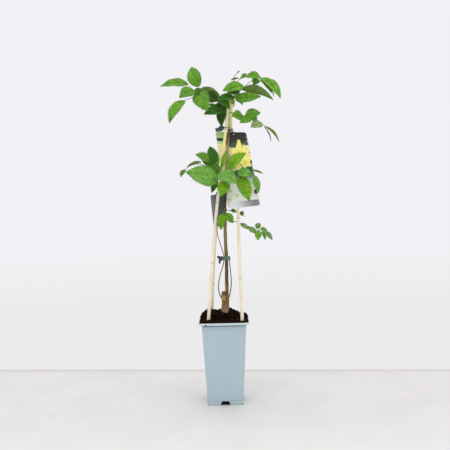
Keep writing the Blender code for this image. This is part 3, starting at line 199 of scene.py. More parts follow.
# Each leaf: the height at which it leaves the leader, the path of its stalk from just clear of the leader,
# and its leaflets as tone, base, tip, width, way that the face looks, and arch. The tip ends the leader.
LEAVES = {
    "leaf_top_left": (866, [(18, 0, 868), (-1, 1, 870), (-32, -2, 880), (-61, -11, 880), (-77, -23, 864),
                            (-97, -33, 855)], [
        ("mid", (-58, -6, 899), (-79, 8, 960), 42, (-0.3, -0.92, 0.2), 0.10),
        ("mid", (-89, 0, 907), (-171, 18, 906), 38, (0.0, -0.8, 0.6), 0.13),
        ("mid", (-69, -14, 884), (-111, -40, 860), 43, (-0.1, -0.92, 0.35), 0.10),
        ("fresh", (-98, -34, 854), (-140, -50, 787), 42, (-0.5, -0.85, 0.3), 0.09),
        ("mid", (-61, -24, 876), (-32, -62, 816), 50, (-0.2, -0.92, 0.35), 0.06),
        ("deep", (12, -16, 834), (-43, -46, 812), 34, (-0.05, -0.97, 0.2), 0.04),
        ("dark", (6, -20, 850), (1, -32, 806), 36, (0.1, -0.95, 0.2), 0.05),
        ("olive", (-53, 4, 896), (6, 12, 866), 31, (0.05, -0.9, 0.4), 0.08),
        ("dark", (-42, -10, 874), (-3, -24, 852), 44, (0.1, -0.95, 0.25), 0.05),
        ("deep", (-4, -18, 863), (28, -32, 828), 28, (0.1, -0.9, 0.45), 0.05),
        ("deep", (-56, -14, 893), (-63, -34, 867), 22, (0.0, -0.95, 0.3), 0.05)]),
    "leaf_top_right": (866, [(47, -5, 869), (56, -7, 880), (70, -8, 893), (95, -6, 914), (121, -3, 924)], [
        ("fresh", (122, -6, 921), (172, -42, 854), 38, (0.35, -0.85, 0.4), 0.06),
        ("mid", (119, 5, 925), (79, 14, 928), 31, (0.0, -0.85, 0.5), 0.18),
        ("olive", (64, -13, 887), (150, -48, 845), 37, (0.15, 0.5, 0.85), 0.12),
        ("mid", (46, -11, 859), (117, -38, 858), 33, (0.05, -0.97, 0.2), 0.02),
        ("mid", (70, -14, 896), (10, -30, 878), 37, (-0.05, -0.9, 0.4), 0.06),
        ("deep", (58, -14, 883), (20, -36, 868), 24, (0.0, -0.95, 0.2), 0.08),
        ("deep", (42, -12, 864), (0, -36, 855), 28, (-0.1, -0.9, 0.4), 0.08),
        ("mid", (119, -9, 918), (147, -32, 870), 28, (0.3, -0.9, 0.3), 0.10),
        ("deep", (111, -7, 918), (98, -18, 898), 24, (0.0, -0.95, 0.3), 0.05),
        ("mid", (122, 6, 916), (158, 16, 872), 26, (0.6, -0.5, 0.6), 0.12)]),
    "leaf_under_left": (822, [(14, 7, 836), (0, 14, 848), (-16, 20, 852)], [
        ("dark", (9, -8, 838), (5, -29, 779), 30, (-0.2, -0.97, 0.1), 0.06),
        ("mid", (-16, 20, 852), (-52, 44, 842), 34, (-0.2, -0.3, 0.9), 0.10),
        ("mid", (-6, 20, 852), (-22, 62, 846), 32, (-0.1, 0.2, 0.95), 0.12)]),
    "leaf_under_right": (824, [(46, -9, 818), (60, -10, 814), (88, -9, 807), (110, -7, 798),
                               (127, -5, 784)], [
        ("mid", (66, -14, 808), (35, -34, 807), 36, (-0.1, -0.95, 0.3), 0.04),
        ("mid", (73, -9, 812), (116, -14, 819), 34, (0.0, -0.95, 0.3), 0.05),
        ("mid", (86, -14, 805), (57, -38, 786), 30, (-0.1, -0.95, 0.25), 0.05),
        ("pale", (120, -10, 790), (87, -32, 775), 30, (-0.1, -0.95, 0.3), 0.05),
        ("olive", (128, -6, 782), (168, -13, 736), 13, (0.5, -0.75, 0.45), 0.10),
        ("olive", (127, -6, 780), (144, -13, 736), 9, (0.8, -0.5, 0.3), 0.08),
        ("mid", (92, -4, 806), (104, 34, 800), 26, (0.1, 0.3, 0.9), 0.12)]),
    "leaf_top_back": (874, [(36, 18, 881), (34, 38, 884), (30, 56, 880)], [
        ("mid", (40, 18, 881), (74, 44, 868), 28, (0.2, 0.1, 0.95), 0.14),
        ("mid", (30, 22, 882), (4, 48, 868), 28, (-0.2, 0.1, 0.95), 0.14),
        ("fresh", (39, 40, 883), (68, 74, 862), 30, (0.2, 0.3, 0.9), 0.14),
        ("mid", (28, 42, 884), (8, 80, 860), 30, (-0.2, 0.3, 0.9), 0.14),
        ("fresh", (30, 57, 880), (34, 98, 848), 32, (0.0, 0.6, 0.8), 0.12)]),
    "leaf_mid_left_up": (648, [(2, -35, 657), (-10, -39, 665), (-22, -42, 674)], [
        ("deep", (-16, -43, 673), (-30, -32, 723), 33, (-0.3, -0.95, 0.2), 0.06),
        ("mid", (-31, -46, 679), (-69, -58, 697), 30, (0.0, -0.85, 0.5), 0.10),
        ("rich", (-14, -38, 664), (-51, -44, 681), 30, (0.0, -0.85, 0.5), 0.08),
        ("lime", (-7, -40, 666), (-9, -32, 709), 11, (0.3, -0.95, 0.1), 0.05),
        ("lime", (1, -37, 662), (17, -34, 709), 15, (0.4, -0.9, 0.1), 0.05)]),
    "leaf_mid_left": (630, [(3, -42, 632), (-8, -53, 640), (-35, -56, 660), (-58, -61, 671),
                            (-84, -69, 665), (-94, -73, 658)], [
        ("blue", (-9, -60, 624), (-94, -88, 647), 60, (-0.1, -0.95, 0.3), 0.06),
        ("olive", (-96, -75, 655), (-108, -87, 634), 17, (-0.4, -0.85, 0.3), 0.08),
        ("olive", (-54, -64, 677), (-92, -73, 662), 12, (0.2, -0.8, 0.6), 0.10),
        ("rich", (-10, -54, 640), (-15, -51, 675), 26, (0.0, -1.0, 0.1), 0.05)]),
    "leaf_mid_front": (620, [(13, -44, 630), (9, -59, 637)], [
        ("blue", (-2, -63, 645), (40, -93, 613), 54, (0.1, -0.85, 0.5), 0.08),
        ("lime", (13, -62, 622), (-1, -76, 581), 36, (-0.1, -1.0, 0.2), 0.06)]),
    "leaf_mid_right": (650, [(34, -42, 651), (56, -52, 646), (84, -53, 643), (94, -52, 640)], [
        ("lime", (22, -43, 658), (71, -62, 698), 37, (-0.3, -0.9, 0.4), 0.08),
        ("moss", (52, -57, 637), (77, -71, 566), 38, (0.1, -1.0, 0.15), 0.06),
        ("blue", (47, -56, 646), (88, -69, 637), 31, (0.0, -0.9, 0.4), 0.10),
        ("blue", (94, -54, 636), (103, -62, 588), 20, (0.2, -1.0, 0.1), 0.06),
        ("olive", (89, -51, 652), (117, -58, 641), 8, (0.1, -0.85, 0.5), 0.05)]),
    "leaf_mid_back": (618, [(2, -10, 624), (-2, 2, 630), (-10, 14, 637), (-24, 32, 640)], [
        ("mid", (-10, 12, 642), (-52, 32, 662), 34, (-0.2, -0.5, 0.85), 0.12),
        ("mid", (-16, 18, 635), (-58, 24, 624), 30, (-0.3, -0.5, 0.8), 0.10),
        ("mid", (-25, 34, 640), (-56, 80, 630), 38, (-0.2, 0.3, 0.9), 0.12),
        ("fresh", (-12, 28, 642), (6, 68, 656), 32, (0.2, 0.1, 0.95), 0.14),
        ("mid", (-18, 34, 636), (-8, 82, 616), 34, (0.1, 0.4, 0.9), 0.12),
        ("deep", (-8, 8, 628), (-27, -4, 594), 24, (-0.5, -0.8, 0.3), 0.06)]),
    "leaf_low_front": (548, [(8, -31, 543), (6, -34, 538)], [
        ("moss", (4, -35, 533), (-3, -38, 488), 24, (-0.1, -1.0, 0.2), 0.06),
        ("mid", (12, -33, 534), (31, -26, 507), 24, (0.2, -0.95, 0.3), 0.06)]),
    "leaf_low_right": (524, [(32, -9, 512), (48, -7, 507), (64, -8, 500), (94, -10, 489), (110, -11, 485),
                             (120, -12, 482)], [
        ("dull", (53, -9, 504), (78, -14, 487), 15, (0.1, -0.9, 0.45), 0.06),
        ("dull", (74, -12, 493), (98, -18, 475), 18, (0.1, -0.9, 0.45), 0.06),
        ("dull", (100, -10, 489), (107, -6, 505), 18, (-0.2, -0.95, 0.2), 0.05),
        ("fresh", (104, -14, 484), (101, -24, 456), 20, (0.0, -1.0, 0.2), 0.05),
        ("mid", (114, -13, 482), (122, -24, 457), 12, (0.4, -0.9, 0.2), 0.05),
        ("dull", (120, -12, 481), (142, -20, 456), 16, (0.2, -0.9, 0.4), 0.05),
        ("mid", (110, -7, 488), (131, 2, 479), 18, (0.2, -0.7, 0.7), 0.08)]),
    "leaf_low_back": (544, [(22, -8, 542), (34, -7, 539), (46, -5, 535), (66, -3, 524)], [
        ("olive", (39, -9, 538), (26, -12, 543), 13, (0.0, -0.9, 0.4), 0.05),
        ("olive", (52, -6, 537), (62, -8, 528), 16, (0.1, -0.9, 0.4), 0.05),
        ("mid", (40, -2, 542), (44, 22, 536), 14, (0.1, 0.3, 0.9), 0.08)]),
    "tip": (None, [(38.5, 0.5, 890), (43, 5, 901), (50, 9, 912), (57, 10, 920), (62, 10, 926)], [
        ("olive", (56, 7, 925), (34, 4, 919), 9, (0.0, -0.85, 0.5), 0.06),
        ("mid", (60, 9, 923), (81, 6, 928), 9, (0.0, -0.85, 0.5), 0.10),
        ("mid", (64, 10, 929), (83, 10, 936), 12, (0.0, -0.9, 0.4), 0.10)]),
}
# "dark" and "deep" are painted shade for leaflets that lie in the shade of others, and "blue" and "lime" are
# brightened partly as painted light for the middle leaves below the top ones
TONES = {"dark": "#17480A", "deep": "#2E760A", "mid": "#72B22E", "fresh": "#7EC034", "lime": "#90D020",
         "olive": "#78963E", "blue": "#86C658", "dull": "#90B468", "pale": "#A9C67C", "rich": "#4C9022",
         "moss": "#82BC20"}
BUD_STALK = [(50, 10, 914), (41, 12, 921), (45, 11, 932), (59, 8, 946)]
STALK_RADIUS = 1.35
FOLD = math.radians(14.0)
BLADE_DEEP = 0.45
TOOTH_STEP, VEIN_STEP, VEIN_SLANT = 6.6, 8.0, 1.3


def linear(code):
    """An sRGB hex colour as the linear numbers that a shader takes: each channel c becomes
    ((c + 0.055) / 1.055) ** 2.4, and c / 12.92 near black."""
    channels = np.array([int(code[i:i + 2], 16) / 255 for i in (1, 3, 5)])
    curve = np.where(channels <= 0.04045, channels / 12.92, ((channels + 0.055) / 1.055) ** 2.4)
    return tuple(float(value) for value in curve)


# ------------------------------------------------------------------ surfaces

def skin(grid, wrap=False, uv=None):
    """One surface from a grid of points, rows by columns by 3: its points, its quads, and the place of
    every quad corner as (column share, row share), or as the grid of places that is given."""
    rows, columns = grid.shape[:2]
    last = columns if wrap else columns - 1
    row, column = np.meshgrid(np.arange(rows - 1), np.arange(last), indexing="ij")
    steps = ((0, 0), (0, 1), (1, 1), (1, 0))
    faces = np.stack([(row + down) * columns + (column + over) % columns for down, over in steps], -1)
    if uv is None:
        places = np.stack([np.stack([(column + over) / last, (row + down) / (rows - 1)], -1)
                           for down, over in steps], 2)
    else:
        places = np.stack([uv[row + down, (column + over) % columns] for down, over in steps], 2)
    return {"points": grid.reshape(-1, 3), "faces": faces.reshape(-1, 4),
            "places": places.reshape(-1, 4, 2), "marks": {}}


def mark(part, **values):
    """Adds a number or a colour for every point of a surface, under a name that a material reads."""
    count = len(part["points"])
    for name, value in values.items():
        array = np.asarray(value, float)
        wide = 3 if array.ndim and array.shape[-1] == 3 and array.size != count else 1
        part["marks"][name] = np.broadcast_to(array.reshape(-1, wide), (count, wide))
    return part


def raised(flat, height):
    """Level points given a height, which may be one for all of them."""
    return np.concatenate([flat, np.broadcast_to(height, flat.shape[:-1])[..., None]], axis=-1)


def unit(vectors):
    """Vectors in the same directions, each of length 1."""
    return vectors / np.linalg.norm(vectors, axis=-1, keepdims=True)


def held(value):
    """A value held between 0 and 1."""
    return np.clip(value, 0, 1)


def angles(count):
    """Even angles once round, from 0."""
    return np.arange(count) * TURN / count


def bell(away, wide):
    """A bell curve: 1 in the middle, and e ** -1 at a distance of wide."""
    return np.exp(-(away / wide) ** 2)


def together(parts):
    """Several surfaces as one, their face numbers moved on by the points before them."""
    shift = np.cumsum([0] + [len(part["points"]) for part in parts[:-1]])
    return {"points": np.concatenate([part["points"] for part in parts]),
            "faces": np.concatenate([part["faces"] + by for part, by in zip(parts, shift)]),
            "places": np.concatenate([part["places"] for part in parts]),
            "marks": {name: np.concatenate([part["marks"][name] for part in parts])
                      for name in parts[0]["marks"]}}


def piece(name, part, material, replaced=(), sharp=40.0):
    """A mesh object from a surface: points that coincide are merged, so seams and poles close, faces are
    turned outwards, and edges sharper than the angle stay sharp. It rides on the part's one body."""
    mesh = bpy.data.meshes.new(name)
    faces = part["faces"]
    mesh.vertices.add(len(part["points"]))
    mesh.vertices.foreach_set("co", (part["points"] * MM).ravel())
    mesh.loops.add(faces.size)
    mesh.loops.foreach_set("vertex_index", faces.ravel().astype(np.int32))
    mesh.polygons.add(len(faces))
    mesh.polygons.foreach_set("loop_start", np.arange(0, faces.size, 4, dtype=np.int32))
    mesh.update(calc_edges=True)
    mesh.uv_layers.new(name="place").data.foreach_set("uv", part["places"].ravel())
    for key, values in part["marks"].items():
        if values.shape[1] == 3:
            colour = np.hstack([values, np.ones((len(values), 1))])
            mesh.attributes.new(key, "FLOAT_COLOR", "POINT").data.foreach_set("color", colour.ravel())
        else:
            mesh.attributes.new(key, "FLOAT", "POINT").data.foreach_set("value", values.ravel())
    work = bmesh.new()
    work.from_mesh(mesh)
    bmesh.ops.remove_doubles(work, verts=work.verts, dist=1e-6)
    bmesh.ops.recalc_face_normals(work, faces=work.faces)
    work.to_mesh(mesh)
    work.free()
    mesh.shade_smooth()
    mesh.set_sharp_from_angle(angle=math.radians(sharp))
    mesh.materials.append(material)
    thing = bpy.data.objects.new(name, mesh)
    bpy.context.scene.collection.objects.link(thing)
    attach(thing, BODY)
    if replaced:
        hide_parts(*replaced)
    return thing


def path_through(points, step):
    """A Catmull-Rom curve through the points, then points at even distances along it. Columns after
    x, y, z are carried along, such as a radius."""
    given = np.array(points, float)
    padded = np.vstack([2 * given[0] - given[1], given, 2 * given[-1] - given[-2]])
    along = np.linspace(0, len(given) - 1, 40 * (len(given) - 1) + 1)
    start = np.minimum(along.astype(int), len(given) - 2)
    t = (along - start)[:, None]
    a, b, c, d = (padded[start + k] for k in range(4))
    curve = 0.5 * (2 * b + (c - a) * t + (2 * a - 5 * b + 4 * c - d) * t ** 2
                   + (3 * b - a - 3 * c + d) * t ** 3)
    return even_spacing(curve, step)


def even_spacing(curve, step):
    """The same line with points at even distances, about one step apart."""
    run = np.concatenate([[0.0], np.cumsum(np.linalg.norm(np.diff(curve[:, :3], axis=0), axis=1))])
    even = np.linspace(0, run[-1], max(3, round(run[-1] / step) + 1))
    return np.stack([np.interp(even, run, column) for column in curve.T], axis=1)


def turned_frame(path):
    """Unit vectors along a path and two across it: the axis least in line with the path, made square
    to it, and the cross product of both."""
    way = unit(np.gradient(path, axis=0))
    axis = np.eye(3)[np.abs(way).max(axis=0).argmin()]
    out = unit(axis - way * (way @ axis)[:, None])
    return way, out, np.cross(way, out)


ROUND_END = ((0.35, 0.8), (0.55, 0.45), (0.6, 0.0))
CUT_END = ((0.06, 0.93), (0.06, 0.5), (-0.4, 0.42), (-0.4, 0.0))


def tube(path, radius, sides, start=ROUND_END, end=ROUND_END, flat=1.0):
    """A round profile carried along a path: centre + r (cos a out + sin a side). An end closes through
    extra rings, each given as how far it stands out and its radius, in shares of the end's radius.
    Flat squeezes the profile along its second direction."""
    way, out, side = turned_frame(path)
    reach = np.asarray(radius, float)
    reach = reach[..., None] if reach.ndim == 2 else np.broadcast_to(reach, len(path))[:, None, None]
    angle = angles(sides)
    ring = (np.cos(angle)[None, :, None] * out[:, None] + flat * np.sin(angle)[None, :, None] * side[:, None])
    ring = reach * ring
    caps = []
    for row, sign, rings in ((0, -1, np.array(start[::-1])), (-1, 1, np.array(end))):
        middle = path[row] + sign * way[row] * rings[:, :1] * reach[row].mean()
        caps.append(middle[:, None] + ring[row][None] * rings[:, 1:, None])
    return skin(np.concatenate([caps[0], path[:, None] + ring, caps[1]]), wrap=True)


def ripple(points, wave, seed, stretch=(1, 1, 1), count=14):
    """Soft noise from -1 to 1 at points: the mean of sine waves of about the given length, each with a
    direction and phase drawn at random, made longer along an axis by its stretch."""
    draw = np.random.default_rng(seed)
    way = unit(draw.normal(size=(count, 3))) / np.array(stretch)
    way = way / (wave * draw.uniform(0.7, 1.5, (count, 1)))
    return np.sin(points @ way.T * TURN + draw.uniform(0, TURN, count)).mean(axis=-1) * 2.2


def square_lines(half, corner, inner):
    """Grid lines over a rounded square: the given inner ones, evenly more to where the corner starts,
    then lines whose ends stand at even angles round the corner."""
    start = half - corner
    bend = start + corner * np.tan(np.arange(1, 6) * math.pi / 20)
    side = np.concatenate([inner, np.linspace(inner[-1], start, 4)[1:], bend])
    return np.concatenate([-side[::-1], side[1:] if side[0] == 0 else side])


def square_grid(half, corner, inner):
    """Points over a rounded square: a plain square's points, and in each corner zone the ring that a
    point lies on is drawn in from a square to a quarter circle."""
    lines = square_lines(half, corner, inner)
    x, y = np.meshgrid(lines, lines, indexing="ij")
    over_x, over_y = np.abs(x) - (half - corner), np.abs(y) - (half - corner)
    both = (over_x > 0) & (over_y > 0)
    shrink = np.where(both, np.maximum(over_x, over_y) / np.maximum(np.hypot(over_x, over_y), 1e-9), 1.0)
    x = np.where(both, np.sign(x) * (half - corner + over_x * shrink), x)
    y = np.where(both, np.sign(y) * (half - corner + over_y * shrink), y)
    return np.stack([x, y], -1)


def rim_of(grid):
    """The outer points of a square grid, in order round it."""
    return np.concatenate([grid[:-1, 0], grid[-1, :-1], grid[:0:-1, -1], grid[0, :0:-1]])


def shell(face, back, uv, **marks):
    """A thin solid: a grid over its face and one over its back, joined by a strip round the rim. Each
    mark has a value for the face, the back and the strip."""
    rim, places = (np.stack([rim_of(one), rim_of(two)]) for one, two in ((face, back), (uv, uv)))
    parts = (skin(face, uv=uv), skin(back, uv=uv), skin(rim, wrap=True, uv=places))
    return [mark(part, **{name: values[k] for name, values in marks.items()}) for k, part in enumerate(parts)]


# ------------------------------------------------------------------ materials

# What a kind of node usually has: its settings, the inputs that values fill in order, and its output
USUAL = {
    "Mix": ({"data_type": "RGBA"}, (0, 6, 7), 2),
    "Math": ({"operation": "MULTIPLY"}, (0, 1), 0),
    "MapRange": ({"interpolation_type": "SMOOTHSTEP"}, (0, 1, 2, 3, 4), 0),
    "Mapping": ({}, ("Vector", "Scale", "Location", "Rotation"), 0),
    "TexNoise": ({}, ("Vector", "Scale", "Detail", "Roughness"), 0),
    "TexVoronoi": ({}, ("Vector", "Scale", "Randomness"), 0),
    "Bump": ({}, ("Height", "Distance", "Strength"), 0),
}


def fill(tree, socket, value):
    """Gives an input a link or a constant. A colour is a hex code or three linear numbers."""
    if isinstance(value, bpy.types.NodeSocket):
        tree.links.new(value, socket)
    elif socket.type == "RGBA":
        socket.default_value = (*(linear(value) if isinstance(value, str) else value), 1.0)
    else:
        socket.default_value = value


def add(tree, kind, *values, out=None, **settings):
    """Adds one shader node with its settings, fills its inputs in order, and returns an output."""
    usual, places, first = USUAL.get(kind, ({}, range(len(values)), 0))
    made = tree.nodes.new("ShaderNode" + kind)
    for name, value in {**usual, **settings}.items():
        setattr(made, name, value)
    for place, value in zip(places, values):
        fill(tree, made.inputs[place], value)
    return made.outputs[first if out is None else out]


def blank(name):
    """A new material, the function that adds a node to it, and the place on the object."""
    material = bpy.data.materials.new(name)
    material.use_nodes = True
    node = partial(add, material.node_tree)
    return material, node, node("TexCoord", out="Object")


def finished(material, base, rough, relief, depth, strength=1.0, **others):
    """Gives a material's shader its colour, its roughness, a bump whose relief from 0 to 1 is depth
    millimetres deep, and other values by the names of its inputs."""
    tree = material.node_tree
    bump = add(tree, "Bump", relief, depth * MM, strength)
    inputs = {"Base Color": base, "Roughness": rough, "Normal": bump, **others}
    for name, value in inputs.items():
        fill(tree, tree.nodes["Principled BSDF"].inputs[name], value)
    return material


def layered(node, base, *layers):
    """A colour with others laid over it in turn, each by its share. A share is a link, or a value with the
    range over which it comes in and, where they aren't 0 and 1, the shares at the range's ends."""
    for share, colour in layers:
        share = node("MapRange", *share) if isinstance(share, tuple) else share
        base = node("Mix", share, base, colour)
    return base


def noise(node, place, size, stretch=(1, 1, 1), detail=4.0, rough=0.55):
    """Noise whose lumps are about the given size in millimetres, made longer along an axis by its
    stretch."""
    scale = tuple(1 / (size * MM * s) for s in stretch)
    return node("TexNoise", node("Mapping", place, scale), 1.0, detail, rough)


def stripe(node, value, rise, fall, share=1.0):
    """A share that comes in over one range of a value and goes out over another."""
    return node("Math", node("MapRange", value, *rise, 0.0, share), node("MapRange", value, *fall))


def spot_on(node, place, middle, edge, core, share=1.0):
    """A share that is full nearer to a point than core and gone past edge."""
    away = node("VectorMath", place, middle, operation="DISTANCE", out="Value")
    return node("MapRange", away, edge, core, 0.0, share)


def moulded_polypropylene(settings):
    """Blue-grey polypropylene, injection moulded: an even, slightly cloudy colour, a soft broad gloss,
    faint upright flow lines and dust towards the foot. The lip is painted paler as a highlight, the crease
    below it is painted shade with some dirt, and there is one smudge. A painted shade line marks the step at
    the top of the foot band, and the channel under the pot is painted dark as shade."""
    material, node, place = blank("polypropylene_moulded_blue_grey")
    height = node("SeparateXYZ", place, out=2)
    flow = noise(node, place, 5.0, (1, 1, 30), 3.0)
    grain = noise(node, place, 0.7, detail=2.0)
    core = (FOOT_HALF - CORNER_FOOT) * MM
    reach = node("VectorMath", place, operation="ABSOLUTE")
    reach = node("VectorMath", reach, (core, core, 1.0), operation="SUBTRACT")
    reach = node("VectorMath", reach, (0.0, 0.0, 0.0), operation="MAXIMUM")
    reach = node("VectorMath", reach, operation="LENGTH", out="Value")
    base = layered(
        node, settings.pot_colour,
        ((noise(node, place, 38.0, detail=3.0), 0.3, 0.7, 0.0, 0.5), settings.pot_shade),
        ((flow, 0.45, 0.75, 0.0, 0.12), "#C6D4DA"),
        (node("Math", node("MapRange", height, *POT_DUST, 0.0, 0.25),
              node("MapRange", noise(node, place, 9.0), 0.35, 0.7)), "#9DA5A7"),
        # painted highlight: the lip made paler where light falls on it from above
        ((height, *LIP_HIGHLIGHT, 0.0, 0.7), "#D3DFE3"),
        # painted shade with some dirt in the crease under the lip
        (stripe(node, height, *LIP_CREASE_SHADE_AND_DIRT, 0.85), "#4E6570"),
        # painted shade: a darker line at the step on top of the foot band
        (stripe(node, height, *FOOT_STEP_SHADE, 0.6), "#8598A0"),
        (spot_on(node, place, SMUDGE, 0.0044, 0.0030), "#2A2824"),
        ((noise(node, place, 1.6, detail=1.0), 0.74, 0.80, 0.0, 0.35), "#8A959B"),
        # painted shade: the channel under the pot made nearly black
        (node("Math", node("MapRange", reach, *CHANNEL_SHADE_REACH, 0.0, 0.85),
              node("MapRange", height, *CHANNEL_SHADE_TOP)), "#20262A"))
    relief = node("Math", flow, node("Math", grain, 0.5), operation="ADD")
    rough = node("MapRange", flow, 0.2, 0.8, 0.38, 0.52)
    return finished(material, base, rough, relief, 0.12, 0.5, IOR=1.49)


def crumbled_peat(settings):
    """Damp peat with bark fibre, crumbled: nearly black brown, redder on the drier crumbs, dull."""
    material, node, place = blank("peat_crumbled_damp")
    dry = node("Attribute", attribute_name="dry", out="Fac")
    crumbs = noise(node, place, 3.2, detail=6.0, rough=0.65)
    fibre = node("MapRange", noise(node, place, 1.1, (1, 4, 1), 2.0), 0.68, 0.75, 0.0, 0.5)
    base = layered(node, settings.soil_colour, ((crumbs, 0.35, 0.7), "#2C160A"),
                   ((dry, 0.5, 1.0, 0.0, 0.75), "#5E3E28"), (fibre, "#7A5A3C"))
    return finished(material, base, 0.95, crumbs, 1.1, **{SPECULAR: 0.05})


def dried_bamboo(settings):
    """Thin bamboo cane, dried and trimmed: cream and satin, with fine upright fibres, browner at the
    knuckles and a few dark flecks. Below the top tie a painted yellow reflection of the label warms it,
    and above the tie it is pale yellow-green, partly its own tint and partly painted light against the
    shade of the leaves."""
    material, node, place = blank("bamboo_cane_dried")
    height = node("SeparateXYZ", place, out=2)
    knuckle = node("Attribute", attribute_name="knuckle", out="Fac")
    fibre = noise(node, place, 0.55, (1, 1, 40), 4.0, 0.6)
    patch = noise(node, place, 9.0, (1, 1, 5), 3.0)
    fleck = noise(node, place, 1.3, (1, 1, 3), 1.0)
    base = layered(
        node, settings.cane_colour,
        ((patch, 0.3, 0.72), settings.cane_shade),
        ((fibre, 0.5, 0.72, 0.0, 0.3), "#DCC79A"),
        ((knuckle, 0.1, 1.0, 0.0, 0.4), "#C0A169"),
        ((fleck, 0.72, 0.78, 0.0, 0.5), "#8E7044"),
        # partly painted light: the cane's top made pale against the shade of the leaves
        ((height, *CANE_TOP_PALE_AND_LIT, 0.0, 0.95), "#FFFFC6"),
        # painted reflection: the label's yellow light on the cane below the top tie
        (stripe(node, height, *CANE_LABEL_BOUNCE, 0.6), "#FBE28C"))
    return finished(material, base, node("MapRange", fibre, 0.2, 0.8, 0.42, 0.6), fibre, 0.18, 0.7)


def woody_bark(settings):
    """Young woody bark, grown: tan with grey-olive film, fine lengthwise cracks, blotches and pale
    breathing pores. Up the stem it goes from grey-brown through olive to nearly black in the middle,
    which is painted shade, and to pale yellow-green at the top, which is partly painted light. The thin
    shoots are greyer, and wood that was cut is raw and pale."""
    material, node, place = blank("vine_bark_grown")
    height = node("SeparateXYZ", place, out=2)
    # the ramp holds painted shade in the stem's dark middle and partly painted light at its pale top
    ramp = node("ValToRGB", node("MapRange", height, 0.24, 0.90, interpolation_type="LINEAR"))
    elements = ramp.node.color_ramp.elements
    for position, _ in BARK_AND_SHADE_RAMP[1:-1]:
        elements.new(position)
    for element, (position, colour) in zip(elements, BARK_AND_SHADE_RAMP):
        element.position = position
        element.color = (*linear(colour), 1.0)
    crack = noise(node, place, 1.4, (1, 1, 9), 5.0, 0.62)
    blotch = noise(node, place, 5.0, (1, 1, 1.6), 3.0)
    thin, cut = (node("Attribute", attribute_name=name, out="Fac") for name in ("thin", "cut"))
    base = layered(
        node, ramp,
        ((noise(node, place, 14.0, (1, 1, 2.5), 4.0), 0.42, 0.72, 0.0, 0.25), "#8C7F5C"),
        ((crack, 0.5, 0.3, 0.0, 0.75), "#2E2216"),
        ((blotch, 0.52, 0.66, 0.0, 0.4), "#A88C5C"),
        ((blotch, 0.46, 0.34, 0.0, 0.5), "#3A2A18"),
        *((spot_on(node, place, middle, edge, edge * 0.4, share), colour)
          for middle, edge, colour, share in BARK_SPOTS),
        (node("Math", thin, 0.7), "#6E7058"),
        ((noise(node, place, 1.7, (1, 1, 1.8), 1.0), 0.66, 0.72, 0.0, 0.6), "#B39C72"),
        ((cut, 0.35, 0.75), settings.cut_wood_colour))
    return finished(material, base, 0.78, crack, 0.7, 0.9, **{SPECULAR: 0.25})


def waxy_leaf(settings):
    """Leaf under a thin wax, grown: each leaflet's green in soft patches, a paler midrib and side
    veins that leave it at a slant, a fine net of veins, a darker margin, and a dull paler back. The darkest
    tones are painted shade, and some brighter ones are partly painted light."""
    material, node, place = blank("vine_leaf_waxy")
    across, along = node("SeparateXYZ", node("TexCoord", out="UV"), out=slice(2))
    tint = node("Attribute", attribute_name="tint", out="Color")
    under = node("Attribute", attribute_name="under", out="Fac")
    off = node("Math", across, operation="ABSOLUTE")
    wave = node("Math", along, node("Math", off, VEIN_SLANT), operation="SUBTRACT")
    phase = node("Math", node("Math", wave, operation="FRACT"), 0.5, operation="SUBTRACT")
    near = node("Math", phase, operation="ABSOLUTE")
    fade = node("MapRange", off, 0.95, 0.4, 0.15, 1.0)
    side_vein = node("Math", node("MapRange", near, 0.44, 0.5), fade)
    vein = node("Math", side_vein, node("MapRange", off, 0.075, 0.02), operation="MAXIMUM")
    cells = node("TexVoronoi", node("Mapping", place, (VEIN_NET,) * 3), 1.0, feature="DISTANCE_TO_EDGE")
    net = node("MapRange", cells, 0.12, 0.0)
    cloud = noise(node, place, 9.0)
    patches = node("MapRange", cloud, 0.38, 0.66, 0.0, 0.7)
    base = layered(
        node, node("Mix", patches, tint, settings.leaf_shade, blend_type="MULTIPLY"),
        (node("Math", net, 0.14), settings.vein_colour),
        (node("Math", vein, 0.5), settings.vein_colour),
        ((off, 0.62, 1.0, 0.0, 0.6), "#44742A"),
        (node("Math", under, 0.45), settings.leaf_back_colour))
    rough = node("MapRange", cloud, 0.3, 0.7, 0.50, 0.62)
    rough = node("Math", rough, node("Math", under, 0.2), operation="ADD")
    lines = node("Math", vein, node("Math", net, 0.35), operation="MAXIMUM")
    relief = node("Math", 1.0, lines, operation="SUBTRACT")
    return finished(material, base, rough, relief, 1.2, IOR=1.42, **{SPECULAR: 0.3})


def soft_vinyl(settings):
    """Soft vinyl tie, extruded: slate green and rubbery, with a fine lengthwise grain and grey scuffs,
    darker where it is knotted and paler on the top tie."""
    material, node, place = blank("vinyl_tie_extruded")
    scuff = noise(node, place, 2.2)
    grain = noise(node, place, 0.5, (4, 4, 1), 3.0)
    knot = node("Attribute", attribute_name="knot", out="Fac")
    base = layered(
        node, settings.tie_colour,
        ((scuff, 0.4, 0.72, 0.0, 0.6), "#75866F"),
        ((node("SeparateXYZ", place, out=2), *TIE_PALE, 0.0, 0.75), "#A0A68C"),
        (node("Math", knot, 0.9), settings.tie_top_colour))
    return finished(material, base, 0.5, node("Math", grain, scuff, operation="ADD"), 0.2, 0.6)


def coated_wire():
    """Steel wire in a black coat, drawn and dipped: a thin gloss with small ripples."""
    material, node, place = blank("steel_wire_black_coated")
    ripples = noise(node, place, 1.2)
    return finished(material, node("Mix", ripples, "#17181A", "#2A2C2E"), 0.35, ripples, 0.08)


